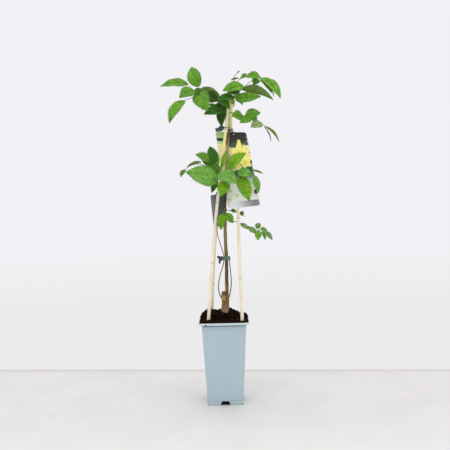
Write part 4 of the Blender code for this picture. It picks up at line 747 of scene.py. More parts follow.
def printed_card():
    """Picture label, offset printed on polystyrene card under a gloss film: big yellow trumpet flowers
    over dark foliage, a green, dark and mint tag over yellow at its left top, small pale blooms on a pale
    meadow below, and a grey band along the foot. Its upper right edge and the corner above the foot band
    are dark, and its back is plain pale card."""
    material, node, place = blank("polystyrene_card_offset_printed")
    across, up = node("SeparateXYZ", node("TexCoord", out="UV"), out=slice(2))
    under = node("Attribute", attribute_name="under", out="Fac")
    spot = node("CombineXYZ", node("Math", across, LABEL_WIDE), node("Math", up, LABEL_HIGH))
    smoke = node("TexNoise", spot, 0.045, 3.0)
    left = node("MapRange", across, 0.30, 0.26)
    foliage = layered(node, "#5E9250",
                      ((node("TexVoronoi", spot, 0.09, 0.9), 0.1, 0.75), "#1E3F30"),
                      ((smoke, 0.4, 0.62), "#2C5049"))
    edge = node("Math", node("MapRange", across, 0.93, 0.95, 0.0, 0.9), node("MapRange", up, 0.5, 0.6))
    base = layered(
        node, foliage,
        ((up, 0.82, 0.9), "#1C1410"),
        *((node("Math", left, node("MapRange", up, *rise)), colour) for rise, colour in LABEL_TAG),
        ((up, 0.44, 0.30), layered(node, "#F4FBEC", ((smoke, 0.42, 0.6), "#FFFFFC"))), (edge, "#2A4D4A"))
    for bloom in BLOOMS:
        base = bloom_over(node, spot, base, *bloom)
    corner = stripe(node, up, (0.145, 0.165), (0.225, 0.205))
    foot = node("Mix", node("MapRange", across, 0.1, 0.9), "#FAFCFF", "#8E8E92")
    base = layered(node, base, (node("Math", corner, node("MapRange", across, 0.86, 0.92)), "#2E3C2C"),
                   ((up, 0.085, 0.08), foot), (under, "#D9DDD6"))
    return finished(material, base, 0.28, noise(node, place, 0.4), 0.03, IOR=1.5)


def bloom_over(node, spot, below, across, up, radius, turn, length, petal, throat):
    """One five-lobed bloom over a picture: inside where the distance from its middle is less than
    radius (0.82 + 0.16 cos 5 angle), with a throat that comes in towards the middle. A bloom with a
    length has a trumpet behind it, a band that narrows away from the middle."""
    local = node("Mapping", spot, (radius, radius, 1), (across, up, 0), (0, 0, math.radians(turn)),
                 vector_type="TEXTURE")
    x, y = node("SeparateXYZ", local, out=slice(2))
    if length:
        width = node("MapRange", x, 0.2, length, 0.55, 0.16)
        side = node("Math", node("Math", y, operation="ABSOLUTE"), width, operation="DIVIDE")
        run = stripe(node, x, (0.0, 0.05), (length, length - 0.1))
        below = node("Mix", node("Math", node("MapRange", side, 1.0, 0.9), run), below,
                     node("Mix", node("MapRange", side, 0.2, 1.0), petal, throat))
    distance = node("VectorMath", local, operation="LENGTH", out="Value")
    angle = node("Math", y, x, operation="ARCTAN2")
    lobes = node("Math", node("Math", node("Math", angle, 5.0), operation="COSINE"), 0.16)
    edge = node("Math", 0.82, lobes, operation="ADD")
    inside = node("MapRange", node("Math", distance, edge, operation="SUBTRACT"), 0.03, -0.03)
    lobe = layered(node, petal, ((distance, 0.62, 0.2), throat), ((distance, 0.12, 0.06), "#E6B84C"))
    return node("Mix", inside, below, lobe)


def dark_card(settings):
    """Care card, polystyrene printed dark slate, with a painted pale sheen, a highlight, towards its left
    edge.
    """
    material, node, place = blank("polystyrene_card_slate")
    across, up = node("SeparateXYZ", node("TexCoord", out="UV"), out=slice(2))
    base = layered(
        node, settings.card_low_colour,
        ((up, 0.15, 1.0), settings.card_colour),
        # painted highlight: a pale sheen towards the left edge
        ((across, 0.55, 0.0, 0.0, 0.55), "#8C9896"),
        ((noise(node, place, 7.0), 0.4, 0.7, 0.0, 0.3), "#2F3836"))
    return finished(material, base, 0.3, noise(node, place, 0.5), 0.03, IOR=1.5)


def painted_floor(settings):
    """Floor painted pale and matt, rolled: barely seen roller marks, paler towards the front, painted
    shade in the corner under the wall, and a painted shadow right under the pot."""
    material, node, place = blank("floor_paint_rolled_matt")
    across, deep = node("SeparateXYZ", place, out=slice(2))
    edge = node("Math", deep, node("Math", across, FLOOR_SLANT), operation="ADD")
    sides = (node("Math", way, operation="ABSOLUTE") for way in (across, deep))
    reach = node("Math", *sides, operation="MAXIMUM")
    base = layered(
        node, settings.floor_colour,
        ((noise(node, place, 160.0, detail=5.0), 0.35, 0.7, 0.0, 0.5), "#D9D8D2"),
        ((deep, -0.1, -0.6), "#EDECE8"),
        # painted shade in the corner where the floor meets the backdrop
        ((edge, settings.floor_end - 0.06, settings.floor_end, 0.0, 0.8), "#CFCCC6"),
        # painted shadow right under the pot
        ((reach, *POT_SHADE_REACH, 0.0, 0.92), "#2B2A26"))
    return finished(material, base, 0.6, noise(node, place, 2.0), 0.1, 0.4)


# ------------------------------------------------------------------ pot and soil

def channel_height(spot):
    """Height of the pot's underside: a channel of sloping sides across the foot both ways, which is the
    higher of the two bars at any point."""
    lean = CHANNEL_HALF - CHANNEL_ROOF_HALF
    return (held((CHANNEL_HALF - np.abs(spot)) / lean) * CHANNEL_HIGH).max(axis=-1)


def wall_at(z):
    """Half width and corner radius of the pot's outer wall at a height, both growing evenly."""
    share = z / POT_HIGH
    return FOOT_HALF + (NECK_HALF - FOOT_HALF) * share, CORNER_FOOT + (CORNER_RIM - CORNER_FOOT) * share


def pot_surface():
    """The pot as one closed surface: a grid for the underside, rings up the outside, over the lip and
    down the inside, and a grid for the inner floor. Rings near the ground start at the channel's
    height, so that the channel shows as a notch in each wall."""
    inner = np.array([0, CHANNEL_ROOF_HALF, CHANNEL_HALF])
    top, under = POT_HIGH, POT_HIGH - WALL
    foot_half, band = FOOT_HALF + FOOT_PROUD, wall_at(FOOT_BAND)[0]
    lip_in, lip_corner, lip_foot = RIM_HALF - WALL, CORNER_LIP - WALL, top - LIP_DROP
    neck, neck_corner = wall_at(under)
    mouth = wall_at(top)[0] - WALL
    levels = [(foot_half - 0.3, CORNER_FOOT, 0.3), (foot_half, CORNER_FOOT, 1.2),
              (band + FOOT_PROUD, CORNER_FOOT, FOOT_BAND - 0.9),
              (band + FOOT_PROUD * 0.7, CORNER_FOOT, FOOT_BAND - 0.3),
              (band + 0.05, CORNER_FOOT, FOOT_BAND + 0.1),
              *((*wall_at(z), z) for z in np.linspace(FOOT_BAND + 3, under - 2.0, 26)),
              (neck, neck_corner, under - 0.8), (neck + 0.8, neck_corner, under),
              (lip_in - 0.4, lip_corner, under), (lip_in, lip_corner, under - 0.4),
              (lip_in, lip_corner, lip_foot + 0.3), (lip_in + 0.4, lip_corner, lip_foot),
              (RIM_HALF - 0.4, CORNER_LIP, lip_foot), (RIM_HALF, CORNER_LIP, lip_foot + 0.4),
              (RIM_HALF, CORNER_LIP, top - 1.0), (RIM_HALF - 0.3, CORNER_LIP - 0.3, top - 0.3),
              (RIM_HALF - 1.0, CORNER_LIP - 1.0, top), (mouth + 0.5, CORNER_RIM - WALL, top),
              (mouth, CORNER_RIM - WALL, top - 0.5)]
    foot = square_grid(foot_half - 1.0, CORNER_FOOT, inner)
    foot = raised(foot, channel_height(foot))
    rings = [rim_of(foot)]
    notch = rings[0][:, 2]
    for half, corner, z in levels:
        rise = notch + (FOOT_BAND - notch) * z / FOOT_BAND if z < FOOT_BAND else z
        rings.append(raised(rim_of(square_grid(half, corner, inner)), rise))
    half, corner = wall_at(FLOOR)
    deck = square_grid(half - WALL, corner - WALL, inner)
    deck = raised(deck, np.maximum(FLOOR, channel_height(deck) + WALL))
    rings.append(rim_of(deck))
    return together([skin(foot), skin(np.array(rings), wrap=True), skin(deck)])


def drill(thing, lines, radius):
    """Cuts a round hole through a piece along each line and removes the cutters."""
    cutters = [piece("drill", tube(line, radius, 24, ((0, 0),), ((0, 0),)), thing.data.materials[0])
               for line in lines]
    for cutter in cutters:
        cut = thing.modifiers.new("hole", "BOOLEAN")
        cut.operation = "DIFFERENCE"
        cut.object = cutter
        cut.solver = "EXACT"
    settle(thing)
    for cutter in cutters:
        bpy.data.objects.remove(cutter)


def settle(thing):
    """Turns a piece's modifiers into its mesh."""
    graph = bpy.context.evaluated_depsgraph_get()
    mesh = bpy.data.meshes.new_from_object(thing.evaluated_get(graph))
    thing.modifiers.clear()
    thing.data = mesh


def heap_height(x, y):
    """Height of the soil's even form: a broad heap, steep at its edge, falling to the front and right."""
    edge = np.maximum(np.abs(x), np.abs(y)) / SOIL_HALF
    right, ahead = np.maximum(x - SOIL_RIGHT_FROM, 0.0), np.maximum(-y - SOIL_FRONT_FROM, 0.0)
    front = SOIL_FRONT * (np.hypot(ahead, SOIL_BEND) - SOIL_BEND)
    heap = SOIL_TOP - SOIL_CROWN * edge ** 2 - SOIL_SHOULDER * edge ** 6 - front
    return np.maximum(heap - SOIL_RIGHT * right ** 2 - SOIL_CORNER * right * ahead, POT_HIGH + SOIL_LEAST)


def soil_surface():
    """Peat as one closed surface: a fine grid for the crumbly top, whose height is the heap's plus noise
    of three sizes that fades at the edge, then rings in under the lip and down to a middle point inside
    the pot."""
    corner = CORNER_LIP - WALL
    flat = square_grid(SOIL_HALF, corner, np.linspace(0, SOIL_HALF - corner - 2, 44))
    inland = 1 - np.abs(flat).max(axis=-1) / SOIL_HALF
    spot = raised(flat, 0.0)
    rough = 1.5 * ripple(spot, 15, 3) + 1.1 * ripple(spot, 7, 4) + 0.8 * np.abs(ripple(spot, 3.4, 5))
    rough = rough * (0.35 + 0.65 * held(inland * 14)) * held(inland * 60)
    height = heap_height(flat[..., 0], flat[..., 1]) + rough
    top = raised(flat, np.maximum(height, POT_HIGH + SOIL_LEAST))
    rings = [rim_of(top)]
    for half, z in ((SOIL_HALF, POT_HIGH + GAP), (wall_at(POT_HIGH)[0] - WALL - GAP, POT_HIGH + GAP),
                    (wall_at(SOIL_FOOT)[0] - WALL - GAP, SOIL_FOOT), (0.0, SOIL_FOOT - 2.0)):
        rings.append(raised(rim_of(flat) * half / SOIL_HALF, z))
    dry = 0.35 + 0.3 * ripple(spot, 22, 6)
    return together([mark(skin(top), dry=dry.ravel()), mark(skin(np.array(rings), wrap=True), dry=0.2)])


def lumps(count, sizes, seed, long=1.0, lift=0.1):
    """Crumbs over the heap: a cube's points pushed out to a ball, each crumb then stretched, dented by
    noise, turned at random and set into the surface. All are one surface."""
    draw = np.random.default_rng(seed)
    side = np.linspace(-1, 1, 3)
    plane = np.stack(np.meshgrid(side, side, indexing="ij"), -1)
    ball = np.array([np.insert(plane, axis, level, axis=-1) for axis in range(3) for level in (-1.0, 1.0)])
    ball = unit(ball) * 0.8 + ball * 0.2
    reach = SOIL_HALF - 3.5
    x, y = draw.uniform(-reach, reach, (2, count))
    size = draw.lognormal(0, 0.35, count) * sizes
    stretch = draw.uniform(0.6, 1.3, (count, 3)) * size[:, None]
    stretch[:, 0] *= long
    turn = np.linalg.qr(draw.normal(size=(count, 3, 3)))[0]
    shape = np.einsum("nij,nfabj->nfabi", turn, ball[None] * stretch[:, None, None, None, :])
    dents = ripple(ball[None] * 2 + draw.uniform(0, 90, (count, 1, 1, 1, 3)), 1.6, seed)
    place = np.stack([x, y, heap_height(x, y) + size * lift], -1)
    shape = shape * (1 + 0.22 * dents)[..., None] + place[:, None, None, None]
    dry = np.repeat(draw.beta(1.4, 3.0, count), 6 * 9)
    quads = np.array([(0, 1, 4, 3), (1, 2, 5, 4), (3, 4, 7, 6), (4, 5, 8, 7)])
    steps = np.arange(count * 6)[:, None, None] * 9
    return {"points": shape.reshape(-1, 3), "faces": (quads[None] + steps).reshape(-1, 4),
            "places": np.zeros((count * 6 * 4, 4, 2)), "marks": {"dry": dry[:, None]}}


# ------------------------------------------------------------------ canes and stem

def cane_surface(points, knuckles):
    """A cane: its radius falls evenly from foot to top, swells like a bell at each knuckle with a groove
    just above it, and its cut top is a wall round a pith hole."""
    path = path_through(points, 2.5)
    z = path[:, 2]
    radius = CANE_RADIUS - CANE_TAPER * (z - z[0]) / (z[-1] - z[0])
    near = np.zeros(len(z))
    for knuckle in knuckles:
        away = z - knuckle
        radius = radius + KNUCKLE_RISE * bell(away, 2.6) - KNUCKLE_GROOVE * bell(away - 4.6, 1.1)
        near = np.maximum(near, bell(away, 4.5))
    sides = 24
    angle = angles(sides)
    shape = 1 + 0.018 * np.cos(2 * angle + 0.7)[None, :] + 0.012 * np.sin(z / 31.0)[:, None]
    part = tube(path, radius[:, None] * shape, sides, end=CUT_END)
    near = np.concatenate([np.zeros(len(ROUND_END)), near, np.full(len(CUT_END), 0.5)])
    return mark(part, knuckle=np.repeat(near, sides))


def cane_at(name, z):
    """Where a cane stands at a height: x, y and the radius that it has near its top."""
    x, y, _ = path_at([(*point, 0) for point in CANES[name][0]], z)
    return x, y, CANE_RADIUS - CANE_TAPER * 0.9


def limb(stations, sides, step, joints=()):
    """A limb: a tube through its stations, swollen a little at each bud joint."""
    path = path_through(stations, step)
    radius = path[:, 3]
    for joint in joints:
        radius = radius * (1 + 0.16 * bell(path[:, 2] - joint, 3.2))
    return tube(path[:, :3], radius, sides)


def stem_piece(material):
    """Trunk, stump and leader melted into one skin by a voxel remesh, smoothed, and then roughened along
    its normals by noise stretched up the stem, most near its foot. The stump's end is marked as cut."""
    wood = together([limb(TRUNK, 28, 3.0), limb(STUMP, 24, 2.5), limb(LEADER, 20, 4.0, BUD_JOINTS)])
    thing = piece("stem_bark", wood, material)
    melt = thing.modifiers.new("melt", "REMESH")
    melt.mode = "VOXEL"
    melt.voxel_size = STEM_VOXEL * MM
    melt.use_smooth_shade = True
    soften = thing.modifiers.new("soften", "SMOOTH")
    soften.iterations = 3
    settle(thing)
    mesh = thing.data
    points, normals = np.zeros((2, len(mesh.vertices) * 3))
    mesh.vertices.foreach_get("co", points)
    mesh.vertex_normals.foreach_get("vector", normals)
    points, normals = points.reshape(-1, 3) / MM, normals.reshape(-1, 3)
    low = held((ROUGH_TOP - points[:, 2]) / ROUGH_FADE)
    rough = ((0.22 + 0.4 * low) * ripple(points, 4.2, 11, (1, 1, 3.5))
             + (0.12 + 0.2 * low) * ripple(points, 1.9, 12, (1, 1, 3)) + 0.5 * low * ripple(points, 9, 13))
    points = points + normals * rough[:, None]
    mesh.vertices.foreach_set("co", (points * MM).ravel())
    before, end = (np.array(station[:3], float) for station in STUMP[-2:])
    axis = unit(end - before)
    along = (points - end) @ axis
    beside = np.linalg.norm(points - end - along[:, None] * axis, axis=1)
    cut = held((along - 1.2) / 1.5) * held((CUT_RADIUS - beside) / 1.5)
    mesh.attributes.new("cut", "FLOAT", "POINT").data.foreach_set("value", cut)
    mesh.materials.clear()
    mesh.materials.append(material)
    mesh.shade_smooth()
    mesh.update()
    return thing


# ------------------------------------------------------------------ ties

def path_at(points, z):
    """Where a line of stations stands at a height: x, y and radius."""
    path = path_through(points, 3.0)
    return [float(np.interp(z, path[:, 2], path[:, k])) for k in (0, 1, 3)]


def drawn_round(circles, grow):
    """A band's line drawn tight round circles: for each direction, the point of the furthest circle,
    then points at even distances round."""
    x, y, radius = np.array(circles).T
    angle = np.append(angles(360), TURN)
    way = np.stack([np.cos(angle), np.sin(angle)], -1)
    first = (way @ np.stack([x, y]) + radius + grow).argmax(axis=1)
    spots = np.stack([x, y], -1)[first] + way * (radius[first] + grow)[:, None]
    return even_spacing(raised(spots, 0.0), 1.2)[:-1, :2]


def round_at(line, share):
    """Points of a closed line at shares of its way round."""
    closed = np.vstack([line, line[:1]])
    run = np.linspace(0, 1, len(closed))
    return np.stack([np.interp(share, run, column) for column in closed.T], -1)


def tie_surface(circles, low, high, gap, knot_radius, ends):
    """A tie: two flat turns drawn round the stems, a knot whose line is a trefoil, and loose ends."""
    middle = (low + high) / 2
    inner, outer = (drawn_round(circles, gap + grow) for grow in (0.0, TIE_THICK))
    share = np.linspace(0, 1, min(len(inner), len(outer)), endpoint=False)
    inner, outer = round_at(inner, share), round_at(outer, share)
    angle = angles(28)
    up = (middle + np.cos(angle) * (high - low) / 2)[None, :] + 0.25 * np.sin(share * 12 * math.pi)[:, None]
    turns = 0.62 + 0.38 * np.abs(np.sin(np.cos(angle) * math.pi))
    out = (turns * held(np.sin(angle) * 2.2))[None, :, None]
    band = raised(inner[:, None] * (1 - out) + outer[:, None] * out, up).transpose(1, 0, 2)
    loop = skin(np.concatenate([band, band[:1]]), wrap=True)
    x, y, radius = min(circles, key=lambda circle: circle[0] - circle[2])
    spot = np.array((x - radius - gap - TIE_THICK - knot_radius + 1.0, y, middle))
    t = np.linspace(0, TURN, 97)
    knot = np.stack([np.sin(t) + 2 * np.sin(2 * t), -np.sin(3 * t) * 1.6, np.cos(t) - 2 * np.cos(2 * t)], -1)
    knot = knot * knot_radius * 0.24 + spot
    parts = [mark(loop, knot=0.0), mark(tube(knot, knot_radius * 0.55, 14), knot=1.0)]
    for offsets, width in ends:
        path = path_through([spot, *(spot + np.array(offset, float) for offset in offsets)], 0.8)
        parts.append(mark(tube(path, TIE_THICK / 2, 16, flat=width / TIE_THICK), knot=1.0))
    return together(parts)


# ------------------------------------------------------------------ cards and wire

def label_place(across, up, back):
    """A place on the picture label: the two-way mean of its four corners, plus a way back along the
    cross product of its two directions."""
    s, t = np.asarray(across / LABEL_WIDE + 0.5)[..., None], np.asarray(up / LABEL_HIGH + 0.5)[..., None]
    low_left, low_right, high_left, high_right = (np.array(corner) for corner in LABEL_CORNERS)
    low, high = low_left + (low_right - low_left) * s, high_left + (high_right - high_left) * s
    left, right = low_left + (high_left - low_left) * t, low_right + (high_right - low_right) * t
    behind = np.cross(high - low, right - left)
    return low + (high - low) * t + back * unit(behind)


def card_place(across, up, back):
    """A place on the care card, rolled and then turned about the upright."""
    roll, yaw = math.radians(CARD_ROLL), math.radians(CARD_YAW)
    right = across * math.cos(roll) - up * math.sin(roll)
    high = across * math.sin(roll) + up * math.cos(roll)
    x, y, z = CARD_MIDDLE
    return np.stack([right * math.cos(yaw) - back * math.sin(yaw) + x,
                     right * math.sin(yaw) + back * math.cos(yaw) + y, high + z], -1)


def card_surface(place, wide, high, corner, columns, rows):
    """A thin card with round corners. Near its top and bottom each row of the grid is drawn in to follow
    the corner's circle."""
    turn = np.linspace(0, math.pi / 2, 8)
    level = high / 2 - corner * (1 - np.sin(turn))
    up = np.concatenate([-level[::-1], np.linspace(-high / 2 + corner, high / 2 - corner, rows)[1:-1], level])
    over = np.clip(np.abs(up) - (high / 2 - corner), 0, corner)
    half = wide / 2 - corner + np.sqrt(np.maximum(corner ** 2 - over ** 2, 0))
    side = np.linspace(-1, 1, columns)
    u, v = half[:, None] * side[None, :], np.broadcast_to(up[:, None], (len(up), columns))
    uv = np.stack([u / wide + 0.5, v / high + 0.5], -1)
    front, back = (place(u, v, depth) for depth in (-CARD_THICK / 2, CARD_THICK / 2))
    return together(shell(front, back, uv, under=(0.0, 1.0, 1.0)))


def flat_strap(path):
    """The care card's strap: a squeezed round profile carried along a path."""
    return mark(tube(path_through(path, 0.8), STRAP_WIDE / 2, 20, flat=STRAP_THICK / STRAP_WIDE), under=0.0)


def strap_loop(x, y):
    """The strap's loop round the cane at x, y: an upright oval profile carried round a level circle."""
    turn = np.linspace(0, TURN, 60)
    line = np.stack([x + STRAP_RADIUS * np.cos(turn), y + STRAP_RADIUS * np.sin(turn),
                     np.full(60, CARD_STRAP_Z)], -1)
    angle = angles(16)
    way = np.gradient(line, axis=0)
    out = unit(np.stack([way[:, 1], -way[:, 0], 0 * way[:, 0]], -1))
    grid = (line[:, None] + out[:, None] * (np.sin(angle) * STRAP_THICK / 2)[None, :, None]
            + np.array((0, 0, 1.0)) * (np.cos(angle) * STRAP_WIDE / 2)[None, :, None])
    grid[-1] = grid[0]
    return mark(skin(grid, wrap=True), under=0.0)


# ------------------------------------------------------------------ leaves

def blade_share(t):
    """Half width of a leaflet along its length, as a share of its widest: t ** 0.55 (1 - t) ** 0.9, drawn
    in a little before the tip."""
    form = t ** 0.55 * (1 - t) ** 0.9 / (0.3793 ** 0.55 * 0.6207 ** 0.9)
    return form * (1 - 0.16 * bell(t - 0.87, 0.08))


def plain_green(part, **marks):
    """A stalk's or bud's surface with its marks, read at one place of the leaf's pattern, clear of
    veins."""
    part["places"] = np.full(part["places"].shape, (0.5, 0.25))
    return mark(part, **marks)


def leaflet_parts(root, base, tip, width, facing, arch, tint, settings, draw):
    """A leaflet on its short stalk.

    The midrib is base + length t way + length (4 arch t (1 - t) + curl t ** 3) up, bent a little to the
    side. Each point stands off it by its share s of the half width, which has a forward-pointing tooth in
    each step of t, and rises by the fold, by the swelling between the side veins and by a slow wave along
    the margin. A second grid under it gives the blade its thickness. A thin tube below is the stalk and
    midrib.
    """
    root, base, tip = (np.array(value, float) for value in (root, base, tip))
    length = np.linalg.norm(tip - base)
    way = (tip - base) / length
    side = unit(np.cross(way, facing))
    up = np.cross(side, way)
    teeth = int(np.clip(round(length / TOOTH_STEP), 5, 14))
    t = np.arange(teeth * 5 + 1) / (teeth * 5)
    s = np.sin(np.linspace(-1, 1, 17) * math.pi / 2 * 0.86) / math.sin(math.pi / 2 * 0.86)
    T, S = np.meshgrid(t, s, indexing="ij")
    inside = np.abs(S)
    step = np.append(np.tile(np.arange(5) / 4, teeth), 0.0)[:, None]
    ends = held(T / 0.12) * held((1 - T) / 0.08)
    outer = held((inside - 0.55) / 0.45) ** 2
    half = width / 2 * blade_share(T) * (1 + settings.tooth_depth * ends * outer * (step ** 1.4 - 0.45))
    lead = length / teeth * 0.55 * step * outer * ends * (S != 0)
    veins = int(np.clip(round(length / VEIN_STEP), 4, 9))
    swell = 0.5 - 0.5 * np.cos(TURN * (T * veins - inside * VEIN_SLANT))
    margin = draw.uniform(0.02, 0.05)
    margin = margin * np.sin(TURN * (T * draw.uniform(1.6, 3.0) + draw.uniform()) + S)
    curl = draw.uniform(-0.035, 0.02)
    bend = draw.uniform(-0.03, 0.03)

    def midrib(t):
        """Points of the midrib at shares of its length."""
        lift, aside = 4 * arch * t * (1 - t) + curl * t ** 3, bend * 4 * t * (1 - t)
        return base + sum(one * (length * by)[..., None] for one, by in ((way, t), (up, lift), (side, aside)))

    rise = (half * inside * math.sin(FOLD) + 0.10 * half * inside * (1 - inside)
            + settings.vein_depth * swell * held(inside * 5) * (1 - inside ** 4) * held(half / 6)
            - 0.35 * bell(S * half, 0.9) + margin * half * inside ** 2)
    face = (midrib(T) + side * (S * half * math.cos(FOLD))[..., None] + up * rise[..., None]
            + way * lead[..., None])
    back = face - up * (BLADE_DEEP * (1 - 0.5 * inside ** 3))[..., None]
    colour = np.array(tint) * (1 + 0.10 * ripple(face, 26, int(draw.integers(1, 9999))))[..., None]
    rib = midrib(np.linspace(0, 0.9, 22)) - up * (BLADE_DEEP * 0.75 + 0.1)
    stalk = path_through([root, (root + rib[0]) / 2 + up * 0.4, *rib[::3]], 2.2)
    girth = np.linspace(0.68, 0.16, len(stalk))
    return [*shell(face, back, np.stack([S, T * veins], -1), tint=(colour, colour, linear("#86A552")),
                   under=(0.0, 1.0, 0.5)),
            plain_green(tube(stalk, girth, 7), tint=linear("#8FA857"), under=0.4)]


def leaf_surface(name, settings):
    """One compound leaf: a stalk that tapers and swells at its foot, its leaflets, and for the growing
    tip its bud."""
    height, route, leaflets = LEAVES[name]
    draw = np.random.default_rng(seed_of(name))
    if height is not None:
        route = [stem_side(height, route[0]), *route]
    curve = path_through(route, 1.8)
    share = np.linspace(0, 1, len(curve))
    radius = STALK_RADIUS * (1 - 0.4 * share) * (1 + 0.5 * bell(share * 14, 1.0)) * 0.92
    parts = [plain_green(tube(curve, radius, 12), tint=linear("#93A556"), under=0.3)]
    inner = curve[len(curve) // 8:-1]
    for tone, base, tip, width, facing, arch in leaflets:
        near = inner[np.linalg.norm(inner - np.array(base, float), axis=1).argmin()]
        tint = np.array(linear(TONES[tone])) * draw.uniform(0.92, 1.1) * (1, draw.uniform(0.97, 1.03), 1)
        parts += leaflet_parts(near, base, tip, width, facing, arch, tint, settings, draw)
    if name == "tip":
        bud = path_through(BUD_STALK, 1.0)
        swollen = 0.75 + 1.2 * bell(np.linspace(1, 0, len(bud)) - 0.06, 0.09)
        parts.append(plain_green(tube(bud, swollen, 12), tint=linear("#6A5238"), under=0.3))
    leaf = together(parts)
    leaf["points"] = np.clip(leaf["points"], *BOX)
    return leaf


def seed_of(name):
    """A seed for a name, the same on every run."""
    return sum(ord(letter) * 31 ** place for place, letter in enumerate(name)) % 2 ** 31


def stem_side(height, toward):
    """Where a leaf's stalk leaves the leader: on its skin, on the side that the stalk goes off by."""
    x, y, girth = path_at(LEADER, height)
    out = np.array(toward[:2], float) - (x, y)
    spot = np.array((x, y)) + unit(out) * (girth - 0.3)
    return (*spot, height)


# ------------------------------------------------------------------ settings

def colour_of(label, code, about):
    """A colour setting with its hex default."""
    return bpy.props.FloatVectorProperty(name=label, description=about, subtype="COLOR", size=3, min=0, max=1,
                                         default=linear(code))


def amount(label, start, about, **limits):
    """A number setting with its default."""
    return bpy.props.FloatProperty(name=label, description=about, default=start, **limits)


class VinePotSettings(bpy.types.PropertyGroup):
    """Colours of the pot and its soil, and the crumbs."""
    pot_colour: colour_of("Pot", "#B3C7CE", "Colour of the moulded pot")
    pot_shade: colour_of("Pot clouds", "#AEC1C9", "Colour of the pot's cloudy patches")
    soil_colour: colour_of("Peat", "#0C0604", "Colour of the damp peat")
    crumb_size: amount("Crumb size", 1.9, "Usual half width of a crumb, in mm", min=0.8, max=4)
    crumb_count: bpy.props.IntProperty(name="Crumbs", description="Number of crumbs on the heap",
                                       default=1100, min=0, max=2500)


class VineWoodSettings(bpy.types.PropertyGroup):
    """Colours of canes, bark and ties."""
    cane_colour: colour_of("Cane", "#F7F0DA", "Colour of the dried cane")
    cane_shade: colour_of("Cane patches", "#EBE0C0", "Colour of the cane's darker patches")
    cut_wood_colour: colour_of("Cut wood", "#B39364", "Colour of raw wood where the stem was pruned")
    tie_colour: colour_of("Tie", "#56695A", "Colour of the middle tie")
    tie_top_colour: colour_of("Top tie", "#333D40", "Colour of the top tie and of the knots")


class VineCardSettings(bpy.types.PropertyGroup):
    """Colours of the cards."""
    card_colour: colour_of("Care card", "#48534F", "Colour of the care card towards its top")
    card_low_colour: colour_of("Care card foot", "#5B6765", "Colour of the care card towards its foot")


class VineLeafSettings(bpy.types.PropertyGroup):
    """Form and colours of the leaves."""
    leaf_shade: colour_of("Patches", "#A3C088", "What darkens the leaf in soft patches")
    vein_colour: colour_of("Veins", "#A6CC58", "Colour of the veins")
    leaf_back_colour: colour_of("Back", "#6F9148", "Colour of the leaf's back")
    tooth_depth: amount("Teeth", 0.2, "Depth of a tooth, as a share of half width", min=0, max=0.4,
                        subtype="FACTOR")
    vein_depth: amount("Swelling", 0.8, "Rise of the blade between veins, in mm", min=0, max=1.5)


class VineStageSettings(bpy.types.PropertyGroup):
    """Floor, light and camera."""
    floor_colour: colour_of("Floor", "#E4E2DE", "Colour of the painted floor")
    floor_end: amount("Floor end", 0.308, "Where the floor meets the pale backdrop", unit="LENGTH")
    backdrop_colour: colour_of("Backdrop", "#F2F1F5", "Colour behind the plant")
    backdrop_low_colour: colour_of("Backdrop foot", "#ECEBEC", "Colour behind the plant near the floor")
    key_power: amount("Key light", 9, "Power of the large soft light", min=0, unit="POWER")
    lens: amount("Lens", 41.6, "Focal length in mm", min=10)


# ------------------------------------------------------------------ operators

class VINE_OT_pot(bpy.types.Operator):
    """Makes the moulded nursery pot"""
    bl_idname = "vine.pot"
    bl_label = "Nursery pot"

    def execute(self, context):
        material = moulded_polypropylene(context.scene.vine_pot)
        pot = piece("pot_moulded", pot_surface(), material, ["pot"])
        levels = CHANNEL_HIGH + np.array((-3.0, 1.5, 6.0))
        drill(pot, [np.array([(x, y, z) for z in levels]) for x, y in DRAINS], DRAIN_RADIUS)
        return {"FINISHED"}


class VINE_OT_soil(bpy.types.Operator):
    """Makes the heap of peat and its crumbs"""
    bl_idname = "vine.soil"
    bl_label = "Peat"

    def execute(self, context):
        settings = context.scene.vine_pot
        count, size = settings.crumb_count, settings.crumb_size
        material = crumbled_peat(settings)
        piece("soil_heap", soil_surface(), material, ["soil"], 180)
        crumbs = together([lumps(count, size, 21), lumps(count // 8, size * 1.8, 22),
                           lumps(count // 7, size * 0.6, 23, 4.0, 0.8)])
        piece("soil_crumbs", crumbs, material, sharp=70)
        return {"FINISHED"}


class VINE_OT_canes(bpy.types.Operator):
    """Makes the three bamboo canes"""
    bl_idname = "vine.canes"
    bl_label = "Canes"

    def execute(self, context):
        material = dried_bamboo(context.scene.vine_wood)
        for name, (points, knuckles) in CANES.items():
            piece(name.replace("cane", "bamboo"), cane_surface(points, knuckles), material, [name])
        return {"FINISHED"}


class VINE_OT_stem(bpy.types.Operator):
    """Makes the woody stem and its two side shoots"""
    bl_idname = "vine.stem"
    bl_label = "Stem"

    def execute(self, context):
        material = woody_bark(context.scene.vine_wood)
        stem = stem_piece(material)
        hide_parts("stem")
        shoots = together([mark(limb(path, 12, 1.5, joints), cut=0.0, thin=1.0)
                           for path, joints in ((SHOOT_LEFT, (318, 384, 448)), (SHOOT_RIGHT, (312, 372)))])
        piece("stem_side_shoots", shoots, material)
        return {"FINISHED"}


class VINE_OT_ties(bpy.types.Operator):
    """Makes the two soft ties"""
    bl_idname = "vine.ties"
    bl_label = "Ties"

    def execute(self, context):
        material = soft_vinyl(context.scene.vine_wood)
        for name, (low, high, gap, knot_radius, ends) in TIES.items():
            middle = (low + high) / 2
            limbs = (LEADER,) if name == "tie_top" else (LEADER, SHOOT_LEFT, SHOOT_RIGHT)
            circles = [path_at(path, middle) for path in limbs]
            if name == "tie_top":
                circles += [cane_at(cane, middle) for cane in CANES]
            tie = tie_surface(circles, low, high, gap, knot_radius, ends)
            piece(name + "_drawn", tie, material, [name])
        return {"FINISHED"}


